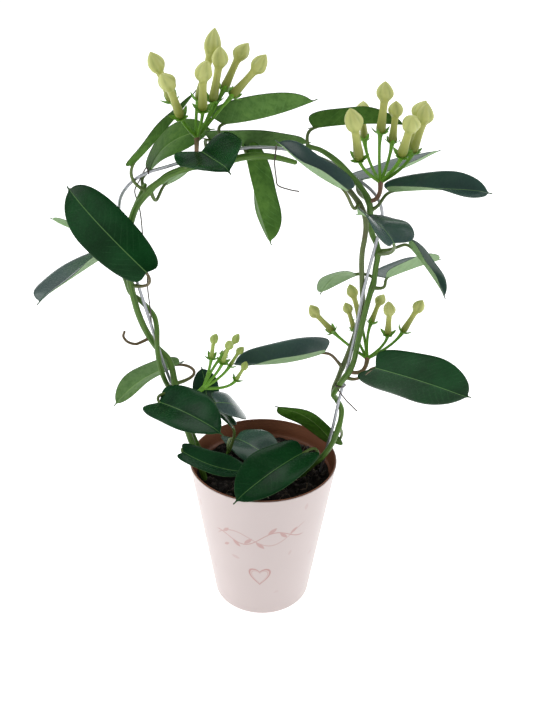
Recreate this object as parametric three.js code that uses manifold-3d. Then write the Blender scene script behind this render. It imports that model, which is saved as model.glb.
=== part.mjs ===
// A Madagascar jasmine trained on a wire hoop, in a nursery pot that stands in a cover pot.
// Millimetres, +Z up. The origin is the centre of the cover pot's underside.
// The hoop stands in the X-Z plane, and -Y is the side that the blooms and big leaves face.
import * as THREE from 'three';
import { mergeVertices } from 'three/addons/utils/BufferGeometryUtils.js';
import Module from 'manifold-3d';

// Pots
const POT_HEIGHT = 133;            // top of the nursery pot
const COVER_TOP = 132.4;
const COVER_RIM_RADIUS = 60;
const COVER_FOOT_RADIUS = 39.3;
const COVER_FOOT_ROUND = 5;
const COVER_FOOT_SHARES = [0.15, 0.5, 0.85];  // where the rounding of its foot has corners
const COVER_WALL = 0.8;
const COVER_FLOOR = 2.4;
const GAP = 0.3;                   // air between pieces that touch
const NURSERY_WALL = 0.8;
const NURSERY_FLOOR = COVER_FLOOR + GAP;
const NURSERY_TAPER = 4.5;         // how much slimmer its foot is than the cover pot's inside
const COLLAR_DEPTH = 13;           // height of the wider band at the top
const COLLAR_STEP = 1.6;           // how far the wall steps in below that band
const POT_SIDES = 36;

// Soil
const SOIL_LEVEL = 118;
const SOIL_FLAT_RIM = 5;           // width over which the lumps fade towards the pot
const SOIL_RINGS = [0.72, 0.4];    // shares of the radius at which the top is divided
// Its lumps are a sum of waves: height, turn per mm along x and along y, and start
const SOIL_WAVES = [[1.1, 0.21, 0.17, 0.9], [1.1, 0.21, -0.17, 1.7], [1.1, 0.43, -0.37, 0]];

// Wire, stems and stalks: radii, and the number of sides and of steps along the route
const WIRE_RADIUS = 1.2;
const MAIN_STEM_RADIUS = 2.5;
const SIDE_STEM_RADIUS = 2.0;
const RIGHT_STEM_RADIUS = 2.2;
const BASAL_STEM_RADIUS = 1.6;
const PETIOLE_RADIUS = 1.15;
const PEDICEL_RADIUS = 1.1;
const PEDUNCLE_RADIUS = 1.6;
const TIE_RADIUS = 0.55;
const STEM_SIDES = 6;
const STALK_SIDES = 4;
const HOOP_STEPS = 50;
const HOLE_STEPS = 48;
const PETIOLE_STEPS = 4;
const PEDUNCLE_STEPS = 4;
const PEDICEL_STEPS = 2;
const TIE_STEPS = 20;
const NEAREST_STEPS = 400;         // places tried along a route to find the nearest

// Leaves
const BLADE_THICKNESS = 0.8;
const BLADE_WIDEST = 0.42;         // place of the greatest width along the blade
const BLADE_BODY_END = 0.95;       // place where the round body of the blade ends
const BLADE_BASE_POWER = 2.6;      // the base is a superellipse of this power
const BLADE_END_POWERS = [2.2, 0.6];
const DRIP_TIP = { width: 0.085, start: 0.88, power: 0.8 };
const HEEL_DEPTH = 1;              // how far the two lobes of the base reach back, in half widths
const HEEL_POWER = 1.3;
const HEEL_FADE = 6;
const DROOP_START = 0.85;          // from here on the tip bends down
const DROOP_POWER = 1.5;
const BLADE_LEAST = 1.0;           // half width at the very base, and half that at the tip
const BLADE_SHARES = [0, 0.04, 0.14, 0.32, 0.55, 0.78, 0.93, 1];  // places of its rows
const BLADE_COLUMNS = 4;
const PETIOLE_SUNK = 3;            // how far the stalk runs into the blade
const PETIOLE_LEAD = 6;            // how far before the blade it swings into line
const PETIOLE_UNDER = [0.9, 0.4];  // how far below the midrib it lies, there and in the blade

// Buds: ring after ring of [share of the length, radius], for a bud of the usual length
const BUD_PROFILE = [
  [0.04, 2.5], [0.12, 3.4], [0.54, 2.7], [0.78, 5.6], [0.91, 3.7],
];
const BUD_USUAL = 38;
const BUD_GROWTH = 0.5;            // shorter buds are slimmer, by their length to this power
const SEPALS = 5;
const SEPAL_POINT = [3.2, 6.8];    // height above the bud's foot, and radius
const SEPAL_NOTCH = [0.8, 3.5];
const CALYX_FOOT = -1.2;
const PEDICEL_SUNK = 1;            // how far the stalk runs into the calyx
const PEDICEL_BOW = 0.4;           // how far back it bows, as a share of its span
const HUB_SWELL = 1.5;             // radius of the knob where the stalks meet, in stalk radii

const COLOURS = {
  cover: 0xe6d3cd, nursery: 0x6e3d27, soil: 0x1e1410, wire: 0x8d9298, stem: 0x4d6b26,
  oldStem: 0x5d5a35, leaf: 0x1f4a2a, bud: 0xc3c98a, tie: 0x4a4038,
};

const ROUGHNESS = { cover: 0.45, nursery: 0.5, soil: 0.95, wire: 0.35, leaf: 0.4, other: 0.6 };
const WIRE_METALNESS = 0.9;

const up = new THREE.Vector3(0, 0, 1);
const wasm = await Module();
wasm.setup();
const plant = new THREE.Group();
plant.name = 'madagascar_jasmine';

const point = ([x, y, z]) => new THREE.Vector3(x, y, z);
const route = (points) => new THREE.CatmullRomCurve3(points.map(point), false, 'centripetal');

function add(name, geometry, color, roughness = ROUGHNESS.other, metalness = 0) {
  const material = new THREE.MeshStandardMaterial({ color, roughness, metalness });
  const mesh = new THREE.Mesh(geometry, material);
  mesh.name = name;
  plant.add(mesh);
}

// Joining and cutting

function toSolid(geometry) {
  const bare = geometry.clone();
  bare.deleteAttribute('normal');
  bare.deleteAttribute('uv');
  const merged = mergeVertices(bare, 1e-4);
  return new wasm.Manifold(new wasm.Mesh({
    numProp: 3,
    vertProperties: new Float32Array(merged.attributes.position.array),
    triVerts: new Uint32Array(merged.index.array),
  }));
}

function toGeometry(solid) {
  const mesh = solid.getMesh();
  const geometry = new THREE.BufferGeometry();
  geometry.setAttribute('position', new THREE.BufferAttribute(mesh.vertProperties, 3));
  geometry.setIndex(new THREE.BufferAttribute(mesh.triVerts, 1));
  geometry.computeVertexNormals();
  return geometry;
}

const join = (geometries) => toGeometry(
  geometries.map(toSolid).reduce((whole, next) => whole.add(next)),
);

// Basic shapes

function tube(curve, radius, steps, sides) {
  const section = new THREE.Shape();
  for (let i = 0; i < sides; i += 1) {
    const angle = (2 * Math.PI * i) / sides;
    const corner = [radius * Math.cos(angle), radius * Math.sin(angle)];
    if (i === 0) section.moveTo(...corner);
    else section.lineTo(...corner);
  }
  section.closePath();
  return new THREE.ExtrudeGeometry(section, { steps, extrudePath: curve, curveSegments: 1 });
}

function turned(profile, sides) {
  const points = profile.map(([radius, height]) => new THREE.Vector2(radius, height));
  const geometry = new THREE.LatheGeometry(points, sides);
  return geometry.rotateX(Math.PI / 2);
}

function aimed(geometry, from, direction) {
  const turn = new THREE.Quaternion().setFromUnitVectors(up, direction.clone().normalize());
  return geometry.applyQuaternion(turn).translate(from.x, from.y, from.z);
}

// Pots and soil

const coverRadius = (height) => COVER_FOOT_RADIUS
  + ((COVER_RIM_RADIUS - COVER_FOOT_RADIUS) * height) / COVER_TOP;
const nurseryRadius = (height) => coverRadius(height) - COVER_WALL - GAP;

function coverPot() {
  const foot = COVER_FOOT_ROUND;
  const round = COVER_FOOT_SHARES.map((share) => {
    const angle = (share * Math.PI) / 2;
    return [
      coverRadius(foot) - foot * (1 - Math.sin(angle)),
      foot * (1 - Math.cos(angle)),
    ];
  });
  return turned([
    [0, 0], [coverRadius(foot) - foot, 0], ...round, [coverRadius(foot), foot],
    [COVER_RIM_RADIUS, COVER_TOP], [COVER_RIM_RADIUS - COVER_WALL, COVER_TOP],
    [coverRadius(foot) - COVER_WALL, foot], [coverRadius(foot) - foot, COVER_FLOOR],
    [0, COVER_FLOOR],
  ], POT_SIDES);
}

// One side of the nursery pot's wall, from its foot to the foot of its collar.
function nurseryWall(inset) {
  const step = POT_HEIGHT - COLLAR_DEPTH;
  const below = step - COLLAR_STEP;
  return [
    [nurseryRadius(NURSERY_FLOOR) - NURSERY_TAPER - inset, NURSERY_FLOOR + inset],
    [nurseryRadius(below) - COLLAR_STEP - inset, below],
    [nurseryRadius(step) - inset, step],
  ];
}

function nurseryPot() {
  return turned([
    [0, NURSERY_FLOOR], ...nurseryWall(0), [nurseryRadius(POT_HEIGHT), POT_HEIGHT],
    [nurseryRadius(POT_HEIGHT) - NURSERY_WALL, POT_HEIGHT],
    ...nurseryWall(NURSERY_WALL).reverse(), [0, NURSERY_FLOOR + NURSERY_WALL],
  ], POT_SIDES);
}

const soilLump = (x, y) => SOIL_WAVES.reduce(
  (sum, [height, alongX, alongY, start]) => sum + height * Math.sin(alongX * x + alongY * y + start),
  0,
);

function soilBody() {
  const [foot, shoulder] = nurseryWall(NURSERY_WALL + 2 * GAP);
  const filled = (SOIL_LEVEL - foot[1]) / (shoulder[1] - foot[1]);
  const edge = foot[0] + (shoulder[0] - foot[0]) * filled;
  const rings = SOIL_RINGS.map((share) => [share * edge, SOIL_LEVEL]);
  const geometry = turned([
    [0, foot[1]], foot, [edge, SOIL_LEVEL], ...rings, [0, SOIL_LEVEL],
  ], POT_SIDES);
  const place = geometry.attributes.position;
  for (let i = 0; i < place.count; i += 1) {
    const [x, y, z] = [place.getX(i), place.getY(i), place.getZ(i)];
    const inward = Math.min(1, Math.max(0, (edge - Math.hypot(x, y)) / SOIL_FLAT_RIM));
    if (z > SOIL_LEVEL - GAP) place.setZ(i, z + inward * soilLump(x, y));
  }
  return geometry;
}

// Routes of the wire and the stems

const hoop = route([
  [-44, 0, 98], [-49, 0, 118], [-54, 0, 138], [-62, 0, 168], [-72, 0, 200], [-80, 0, 227],
  [-87, 0, 256], [-94, 0, 284], [-102, 0, 318], [-106, 0, 342], [-104, 0, 357],
  [-96, 0, 368], [-85, 0, 375], [-70, 0, 380], [-45, 0, 388], [-17, 0, 394], [5, 0, 394.5],
  [28, 0, 391], [50, 0, 382], [68, 0, 370], [78, 0, 361], [83, 0, 351], [84, 0, 343],
  [82, 0, 329], [79, 0, 314], [76, 0, 298], [73, 0, 279], [71, 0, 262], [68, 0, 238],
  [63, 0, 208], [59, 0, 186], [55, 0, 160], [51, 0, 141], [47, 0, 120], [43, 0, 98],
]);

const stems = {
  left: {
    radius: MAIN_STEM_RADIUS, steps: 42, color: COLOURS.stem,
    curve: route([
      [-43, -10, 98], [-48, -9, 120], [-53, -8, 138], [-60, -6, 160], [-65, -5, 182],
      [-69, -5, 203], [-74, 3, 221], [-83, 5, 231], [-88, 3, 241], [-92, 0, 252],
      [-96, -1, 265], [-98, -3, 277], [-100, -4, 290], [-101, -6, 308], [-100, -5, 325],
      [-97, -2, 340], [-93, -1, 350], [-87, -1, 358], [-81, -2, 365], [-75, -3, 370],
      [-69, -4, 375], [-54, -4, 381], [-38, -4, 384], [-24, -4, 387], [-16, -4, 389],
      [-5, -4, 390], [7, -4, 389], [20, -5, 386],
    ]),
  },
  left_second: {
    radius: SIDE_STEM_RADIUS, steps: 40, color: COLOURS.stem,
    curve: route([
      [-43, 8, 98], [-48, 8, 120], [-54, 7, 140], [-65, 5, 172], [-73, 3, 192],
      [-78, -2, 208], [-81, -4, 223], [-82, -4, 234], [-82, -4, 243], [-82, -2, 251],
      [-84, 3, 259], [-88, 4, 265], [-95, 4, 273], [-101, 3, 279], [-104, 3, 289],
      [-107, 3, 302], [-105, 4, 316], [-101, 4, 329], [-96, 5, 344], [-91, 5, 356],
      [-87, 5, 364],
    ]),
  },
  right: {
    radius: RIGHT_STEM_RADIUS, steps: 47, color: COLOURS.stem,
    curve: route([
      [27, -6, 98], [30, -5.5, 112], [33.5, -5.5, 122], [40.5, -5.5, 130.5], [47.6, -5.5, 138],
      [54.5, -5.2, 149.3], [58.5, -4, 160], [61.5, 0, 170], [62, 4, 178], [58, 5, 186],
      [55, 1, 193], [57, -3, 201], [61, -4, 209], [66, -4, 217],
      [69, -4, 226], [71, -4, 240], [73, -4, 253], [75, -4, 266], [77, -3, 276],
      [79, -1, 284], [81, 1, 291], [82, 3, 302], [83, 4, 311], [82, 5, 320], [78, 3, 329],
      [76, 0, 338], [75, -3, 347], [74, -4, 355], [71, -5, 362], [66, -4, 369],
      [59, -4, 377], [49, -4, 387], [38, -2, 394], [29, 0, 396],
    ]),
  },
  right_second: {
    radius: SIDE_STEM_RADIUS, steps: 40, color: COLOURS.oldStem,
    curve: route([
      [55, 4.2, 193], [55.6, 7, 196], [58, 6.5, 204], [60, 5, 212], [63, 4, 222],
      [66, 4, 232], [69, 4, 244], [72, 5, 258],
      [74, 5, 272], [73, 4, 284], [72, 1, 296], [71, -1, 308], [71, -2, 318], [72, -3, 328],
      [72, -7, 340], [70, -9, 350], [66, -10, 358], [60, -10, 366], [52, -9, 375],
      [43, -8, 382], [36, -7, 386],
    ]),
  },
  basal: {
    radius: BASAL_STEM_RADIUS, steps: 7, color: COLOURS.stem,
    curve: route([[-31, 12, 98], [-31, 11, 116], [-30, 8, 128], [-27, 5, 139]]),
  },
};

// The bare stalk of a leaf that has dropped, below the left hand loop of the stem.
const BARE_STALK = [[-88, 3, 241], [-95, 0, 238.5], [-99, -2, 238], [-105, -2, 240],
  [-108, -1, 244], [-107, -1, 248]];

// A tie goes once round the wire and a stem near a place, and its tail hangs free. The arcs
// are the angles of its points round the stem and the wire, in degrees.
const TIE_FIRST_ARC = [-60, -110];
const TIE_WIRE_ARC = [-120, 180, 120];
const TIE_LAST_ARC = [100, 40, -20];
const TIES = {
  tie_top: {
    stem: 'left', near: [7, 0, 392],
    tail: [[7, -6, 375], [8, -7, 370], [16, -8, 367], [23, -9, 366]],
  },
  tie_right: {
    stem: 'right', near: [60, 0, 204],
    tail: [[64, -8, 194], [69, -9, 189], [73, -10, 185]],
  },
};

// A long loose tie, hooked over the wire at the top left and ending on it below.
const LONG_TIE = [[-83, -3, 375.5], [-84.5, -0.4, 379], [-86.8, 2.8, 375.6], [-91, 6, 367],
  [-95, 9, 358], [-92.5, 9, 347], [-91, 6, 338], [-90, 4, 320], [-88, 2, 300],
  [-87.8, 0, 284], [-86.5, -1, 268], [-86, -2, 257]];

// Leaves. Each grows from the nearest place on its stem to foot. bend pulls its stalk, base and
// tip are the two ends of the midrib, half is the half width, turn is the roll about the midrib
// in degrees and twist how much more it rolls from base to tip. fold is the lift of both halves
// in degrees, arch the bow and droop the bend of the tip, in mm.
const LEAVES = [
  // Low, in front of and round the pot's rim
  { stem: 'right', foot: [44, -5.5, 134], bend: [46, 1, 149], base: [32.2, -8.1, 143.6],
    tip: [-21.8, -62.5, 134.4], half: 21.9, turn: -9, twist: -21, fold: 14, arch: 3.8, droop: 3 },
  { stem: 'left', foot: [-54, -7, 142], bend: [-62, -12, 156], base: [-63.2, -19.5, 150.5],
    tip: [-7.1, -31.8, 140.6], half: 13.8, turn: 7, twist: 0, fold: 23, arch: -5.7, droop: 1 },
  { stem: 'basal', foot: [-28, 6, 135], bend: [-30, -2, 152], base: [-23.9, 35.4, 127.8],
    tip: [13.7, -12.9, 132], half: 18.3, turn: 14, twist: 48, fold: 17, arch: 4.9, droop: 0 },
  { stem: 'basal', foot: [-27, 5, 138], bend: [-22, 4, 154], base: [-26, 2, 163],
    tip: [-41, 8, 176], half: 11, turn: 20, twist: 0, fold: 10, arch: 2, droop: 0 },
  { stem: 'left', foot: [-68, -5, 194], bend: [-84, -12, 204], base: [-81.3, -13.7, 193],
    tip: [-29.6, -73.1, 203.5], half: 20.4, turn: 20, twist: 1, fold: 19, arch: 3.6, droop: 2 },
  { stem: 'left', foot: [-65, -5, 180], bend: [-52, -3, 174], base: [-37.4, -9.2, 190.4],
    tip: [-16, 22.9, 159], half: 12.2, turn: 36, twist: -19, fold: -1, arch: 5.1, droop: 0 },
  { stem: 'left', foot: [-66, -5, 186], bend: [-54, 2, 170], base: [-46, 8, 179],
    tip: [-50, 18, 207], half: 11, turn: 0, twist: 0, fold: 10, arch: 4, droop: 0 },
  { stem: 'left', foot: [-69, -5, 204], bend: [-40.9, 4.6, 208.3], base: [-67.4, 14.3, 211.3],
    tip: [-120.2, 6.9, 176.1], half: 14.7, turn: 59, twist: 30, fold: 17, arch: 7.3, droop: 0 },
  { stem: 'right', foot: [60, -2.5, 164], bend: [68, 10, 152], base: [57.9, 16.2, 137.6],
    tip: [8.9, -5.4, 183.7], half: 14.7, turn: 39, twist: 24, fold: -5, arch: 8, droop: -2 },
  // Inside the hoop and on its right
  { stem: 'right_second', foot: [61, 5, 216], bend: [53.7, -3.6, 228.7], base: [45.8, -11.9, 238.8],
    tip: [-27.8, 21.5, 208.8], half: 18, turn: -16, twist: -18, fold: 50, arch: -5.8, droop: 1 },
  { stem: 'right', foot: [63, -4, 212], bend: [76, -12, 209], base: [83.9, -20.8, 230.4],
    tip: [164.5, 1.2, 190.1], half: 25.3, turn: 110, twist: -9, fold: -4, arch: -1.8, droop: 2 },
  { stem: 'right', foot: [82, 0, 287], bend: [95.1, 0.1, 284.6], base: [90.1, 3, 294.3],
    tip: [137.5, 47.6, 290.1], half: 16.1, turn: -27, twist: 7, fold: 37, arch: 0.6, droop: 0 },
  { stem: 'right', foot: [81, 1, 289], bend: [86, 10, 294], base: [68.3, 8.4, 294.4],
    tip: [43.8, 46.6, 258.7], half: 13.1, turn: 13, twist: -17, fold: -3, arch: 7, droop: 0 },
  { stem: 'right', foot: [83, 4, 313], bend: [91.9, -10.5, 317.9], base: [87.7, -48.7, 344.4],
    tip: [64.7, -13.6, 352.4], half: 19.4, turn: 19, twist: 35, fold: 22, arch: 3.6, droop: 2 },
  { stem: 'right', foot: [83, 4, 316], bend: [97.8, 3.5, 315], base: [105.5, 3, 321.2],
    tip: [133.1, -17.8, 287.6], half: 10.7, turn: -17, twist: 27, fold: 40, arch: 1.2, droop: 1 },
  // Upper right and over the top
  { stem: 'right', foot: [76, 0, 351], bend: [84, -5, 354], base: [86.8, -11.3, 367.9],
    tip: [160.6, -7, 365.9], half: 14.9, turn: 17, twist: 69, fold: 35, arch: 2.5, droop: 2 },
  { stem: 'right', foot: [72, -5, 360], bend: [66, 6, 356], base: [67.8, 19.3, 365.4],
    tip: [128.9, 46, 380.3], half: 15.9, turn: -15, twist: -16, fold: 24, arch: -3.5, droop: 1 },
  { stem: 'right_second', foot: [66, -10, 358], bend: [60, -24, 352], base: [54.2, -35.7, 377.7],
    tip: [6.2, -9.4, 404.2], half: 13.7, turn: -1, twist: -16, fold: 46, arch: -3.5, droop: 1 },
  { stem: 'right', foot: [29, 0, 396], bend: [28.3, 5.8, 398.7], base: [32.7, 13.2, 405.5],
    tip: [99.3, 16.8, 407.2], half: 15.3, turn: -41, twist: 18, fold: 31, arch: 2.2, droop: 0 },
  // Left
  { stem: 'left', foot: [-98, -4, 289], bend: [-80.3, -5.6, 285.9], base: [-85.2, -23.9, 308.7],
    tip: [-130.4, -60.1, 386.7], half: 18.7, turn: -93, twist: 30, fold: -5, arch: -14, droop: 0 },
  { stem: 'left_second', foot: [-105, 2, 297], bend: [-117, 6, 294], base: [-117.9, 15.8, 306.3],
    tip: [-158.6, -60.1, 301.8], half: 23.4, turn: 27, twist: -5, fold: 20, arch: 0.2, droop: 2 },
  { stem: 'left_second', foot: [-102, 4, 326], bend: [-106, 18, 322], base: [-112, 30, 310],
    tip: [-167, 50, 320], half: 13, turn: 45, twist: 0, fold: 10, arch: -2, droop: 0 },
  // Upper left and the crown
  { stem: 'left', foot: [-84, -1, 362], bend: [-95.3, -2.4, 366], base: [-94.9, -3.7, 382],
    tip: [-49, 6.2, 433.1], half: 11, turn: -30, twist: 5, fold: 25, arch: -1.4, droop: 0 },
  { stem: 'left', foot: [-82, -2, 363], bend: [-78.2, 3, 342.8], base: [-74, 8, 364],
    tip: [-43, 12, 384], half: 11, turn: -35, twist: 0, fold: 10, arch: 0, droop: 0 },
  { stem: 'left_second', foot: [-88, 5, 362], bend: [-91, 10, 368], base: [-83.9, 7, 373.5],
    tip: [-39, 54.6, 390.4], half: 16.9, turn: -67, twist: -24, fold: 6, arch: 11.6, droop: 0 },
  { stem: 'left', foot: [-56, -4, 380], bend: [-57, -14, 388], base: [-44.6, -15.9, 396.7],
    tip: [-24.2, -70.1, 403.7], half: 23.3, turn: 20, twist: 3, fold: 19, arch: -0.3, droop: 4 },
  { stem: 'left', foot: [-41, -4, 384], bend: [-42, -3, 404], base: [-41.6, 21.7, 393.4],
    tip: [32.6, 39.8, 386.2], half: 17.8, turn: -35, twist: -5, fold: 26, arch: -4.6, droop: 0 },
  { stem: 'left', foot: [-30, -4, 386], bend: [-33.8, -0.6, 408.6], base: [-31.5, 14.6, 407.4],
    tip: [33.6, -19.9, 435.3], half: 19.4, turn: -28, twist: 0, fold: 41, arch: -3, droop: 0 },
  { stem: 'left', foot: [-10, -4, 390], bend: [-14, 10, 384], base: [-14.5, 11.6, 388.6],
    tip: [4.4, -7.5, 323.9], half: 19.6, turn: -79, twist: -22, fold: 29, arch: -1.8, droop: 0 },
];

// Flower clusters: foot, bend and top of the common stalk, and the base and tip of each bud.
const CLUSTERS = {
  umbel_upper_left: {
    stem: 'left', foot: [-49, -4, 382], bend: [-49, -6, 392], top: [-48, -8, 404], girth: 0.92,
    buds: [
      [[-64, -14, 431], [-75, -26, 466]], [[-58, -20, 422], [-66, -44, 459]],
      [[-43, -20, 427], [-41, -40, 465]], [[-47, -2, 428], [-34, 6, 475]],
      [[-37, -4, 428], [-30, -8, 467]], [[-30, 1, 434.5], [-15, 11, 465.5]],
      [[-24, -3.5, 432], [0, -7.5, 460]],
    ],
  },
  umbel_upper_right: {
    stem: 'right', foot: [73, -4, 358], bend: [82, -7, 358], top: [81, -2, 371], girth: 1,
    buds: [
      [[79, 0, 406], [81, 0, 443]], [[71, 30, 391], [68, 44, 416]],
      [[64, -14, 392], [56, -38, 433]], [[88, 4, 398], [90, 8, 427]],
      [[99, 8, 392], [110, 22, 424]], [[102, -2, 393], [111, -4, 428]],
      [[93, -14, 395], [97, -34, 430]],
    ],
  },
  umbel_lower_right: {
    stem: 'right', foot: [66, -4, 217], bend: [79, -6, 214], top: [80, 3, 225], girth: 0.85,
    buds: [
      [[53, 9, 245], [33, 8, 267]], [[70, 15, 243], [63, 22, 264]],
      [[74, 14, 253], [66, 28, 277]], [[82, 12, 251], [91, 26, 270]],
      [[94, -2, 249], [93, -10, 280]], [[106, 4, 248], [120, 6, 275]],
    ],
  },
  umbel_lower_left: {
    stem: 'left', foot: [-67, -5, 192], bend: [-56, -2, 190], top: [-48, 2, 197], girth: 0.68,
    buds: [
      [[-41, 0, 225], [-38, -4, 249]], [[-33, 4, 225], [-19, 10, 241]],
      [[-32, -4, 224], [-25, -12, 248]], [[-27, 2, 217], [-17, 6, 233]],
      [[-22, -2, 207], [-13, -4, 224]],
    ],
  },
};

// The place on a curve that is nearest to a point, as a share of the curve.
function nearestShare(curve, target) {
  let best = 0;
  for (let i = 0; i <= NEAREST_STEPS; i += 1) {
    const share = i / NEAREST_STEPS;
    const here = curve.getPoint(share).distanceTo(target);
    if (here < curve.getPoint(best).distanceTo(target)) best = share;
  }
  return best;
}

// Where a stalk leaves its stem: on the stem's skin, on the side that faces the next point.
function stalkStart(stem, foot, next, stalkRadius) {
  const { curve, radius } = stems[stem];
  const share = nearestShare(curve, point(foot));
  const centre = curve.getPoint(share);
  const along = curve.getTangent(share);
  const outward = next.clone().sub(centre);
  outward.addScaledVector(along, -outward.dot(along)).normalize();
  const lean = next.clone().sub(centre).angleTo(outward);
  return centre.addScaledVector(outward, radius + GAP + stalkRadius * Math.sin(lean));
}

// The share of the half width that a blade has at a share of its length: a round body, and a
// narrow point that goes on where the body ends.
function bladeWidth(share) {
  const back = Math.max(0, 1 - share / BLADE_WIDEST);
  const on = Math.min(1, Math.max(0, (share - BLADE_WIDEST) / (BLADE_BODY_END - BLADE_WIDEST)));
  const [inner, outer] = BLADE_END_POWERS;
  const body = share < BLADE_WIDEST
    ? (1 - back ** BLADE_BASE_POWER) ** (1 / BLADE_BASE_POWER)
    : (1 - on ** inner) ** outer;
  const left = Math.min(1, (1 - share) / (1 - DRIP_TIP.start));
  return Math.hypot(body, DRIP_TIP.width * left ** DRIP_TIP.power);
}

// A blade's own directions. Its upper face is turned about the midrib, by more towards the tip
// if it is twisted, and the midrib is bowed towards the upper face of its middle.
function bladeFrame({ base, tip, turn, twist, arch }) {
  const from = point(base);
  const along = point(tip).sub(from);
  const length = along.length();
  along.normalize();
  const level = up.clone().addScaledVector(along, -up.dot(along)).normalize();
  const face = (share) => level.clone()
    .applyAxisAngle(along, THREE.MathUtils.degToRad(turn + twist * (share - 0.5)));
  const midrib = (share) => from.clone()
    .addScaledVector(along, length * share)
    .addScaledVector(face(0.5), arch * 4 * share * (1 - share));
  return { along, face, length, midrib };
}

// A blade is a grid of rows across the midrib, closer together at both ends, closed round
// its edge.
function blade(leaf) {
  const { along, face, midrib } = bladeFrame(leaf);
  const rows = BLADE_SHARES.length - 1;
  const fold = THREE.MathUtils.degToRad(leaf.fold);
  const place = (row, column, level) => {
    const share = BLADE_SHARES[row];
    const across = (2 * column) / BLADE_COLUMNS - 1;
    const width = Math.max(BLADE_LEAST * (1 - share / 2), leaf.half * bladeWidth(share));
    const reach = Math.abs(across) * width;
    const heel = HEEL_DEPTH * leaf.half * (reach / leaf.half) ** HEEL_POWER;
    const ending = Math.max(0, (share - DROOP_START) / (1 - DROOP_START));
    const lift = reach * Math.sin(fold) - leaf.droop * ending ** DROOP_POWER;
    const side = new THREE.Vector3().crossVectors(along, face(share));
    return midrib(share)
      .addScaledVector(along, -heel * (1 - share) ** HEEL_FADE)
      .addScaledVector(side, across * width * Math.cos(fold))
      .addScaledVector(face(share), lift + level * BLADE_THICKNESS);
  };
  const positions = [];
  const index = [];
  const columns = BLADE_COLUMNS + 1;
  const perFace = BLADE_SHARES.length * columns;
  for (const level of [-0.5, 0.5]) {
    for (let row = 0; row <= rows; row += 1) {
      for (let column = 0; column < columns; column += 1) {
        positions.push(...place(row, column, level).toArray());
      }
    }
  }
  const quad = (a, b, c, d) => index.push(a, b, c, a, c, d);
  for (let row = 0; row < rows; row += 1) {
    for (let column = 0; column < BLADE_COLUMNS; column += 1) {
      const a = row * columns + column;
      const [b, c, d] = [a + 1, a + columns + 1, a + columns];
      quad(a, d, c, b);
      quad(a + perFace, b + perFace, c + perFace, d + perFace);
    }
  }
  const edge = [];
  for (let column = 0; column < BLADE_COLUMNS; column += 1) edge.push(column);
  for (let row = 0; row < rows; row += 1) edge.push(row * columns + BLADE_COLUMNS);
  for (let column = BLADE_COLUMNS; column > 0; column -= 1) {
    edge.push(rows * columns + column);
  }
  for (let row = rows; row > 0; row -= 1) edge.push(row * columns);
  edge.forEach((here, i) => {
    const next = edge[(i + 1) % edge.length];
    quad(here, next, next + perFace, here + perFace);
  });
  const geometry = new THREE.BufferGeometry();
  geometry.setAttribute('position', new THREE.Float32BufferAttribute(positions, 3));
  geometry.setIndex(index);
  return geometry;
}

// The stalk comes from the stem towards bend and swings into line with the midrib from below.
function petiole(leaf) {
  const { along, face, length, midrib } = bladeFrame(leaf);
  const [before, within] = PETIOLE_UNDER;
  const bend = point(leaf.bend);
  const start = stalkStart(leaf.stem, leaf.foot, bend, PETIOLE_RADIUS);
  const pull = point(leaf.base)
    .addScaledVector(along, -PETIOLE_LEAD)
    .addScaledVector(face(0), -before);
  const end = midrib(PETIOLE_SUNK / length).addScaledVector(face(0), -within);
  const curve = new THREE.CubicBezierCurve3(start, bend, pull, end);
  return tube(curve, PETIOLE_RADIUS, PETIOLE_STEPS, STALK_SIDES);
}

const leafBody = (leaf) => join([blade(leaf), petiole(leaf)]);

// A bud with its calyx, standing on the origin, and with its girth next to that of a usual bud
// of this length. It is made of rings of corners, closed by a point at each end. The lowest
// ring is the star of sepals, the next lies inside it, and the rest are the waisted tube and
// the pointed head.
function bud(length, girth) {
  const corners = 2 * SEPALS;
  const growth = (length / BUD_USUAL) ** BUD_GROWTH;
  const upper = BUD_PROFILE.map(([share, radius]) => [share * length, radius * growth * girth]);
  const ringAt = (ring, corner) => {
    if (ring > 0) return upper[ring - 1];
    const sepal = corner % 2 === 0 ? SEPAL_POINT : SEPAL_NOTCH;
    return sepal.map((measure) => measure * growth);
  };
  const positions = [0, 0, CALYX_FOOT, 0, 0, length];
  const index = [];
  for (let ring = 0; ring <= upper.length; ring += 1) {
    for (let corner = 0; corner < corners; corner += 1) {
      const angle = (2 * Math.PI * corner) / corners;
      const [height, radius] = ringAt(ring, corner);
      positions.push(radius * Math.cos(angle), radius * Math.sin(angle), height);
      const here = 2 + ring * corners + corner;
      const next = 2 + ring * corners + ((corner + 1) % corners);
      if (ring === 0) index.push(0, next, here);
      if (ring === upper.length) index.push(1, here, next);
      else index.push(here, next, next + corners, here, next + corners, here + corners);
    }
  }
  const geometry = new THREE.BufferGeometry();
  geometry.setAttribute('position', new THREE.Float32BufferAttribute(positions, 3));
  geometry.setIndex(index);
  return geometry;
}

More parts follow.
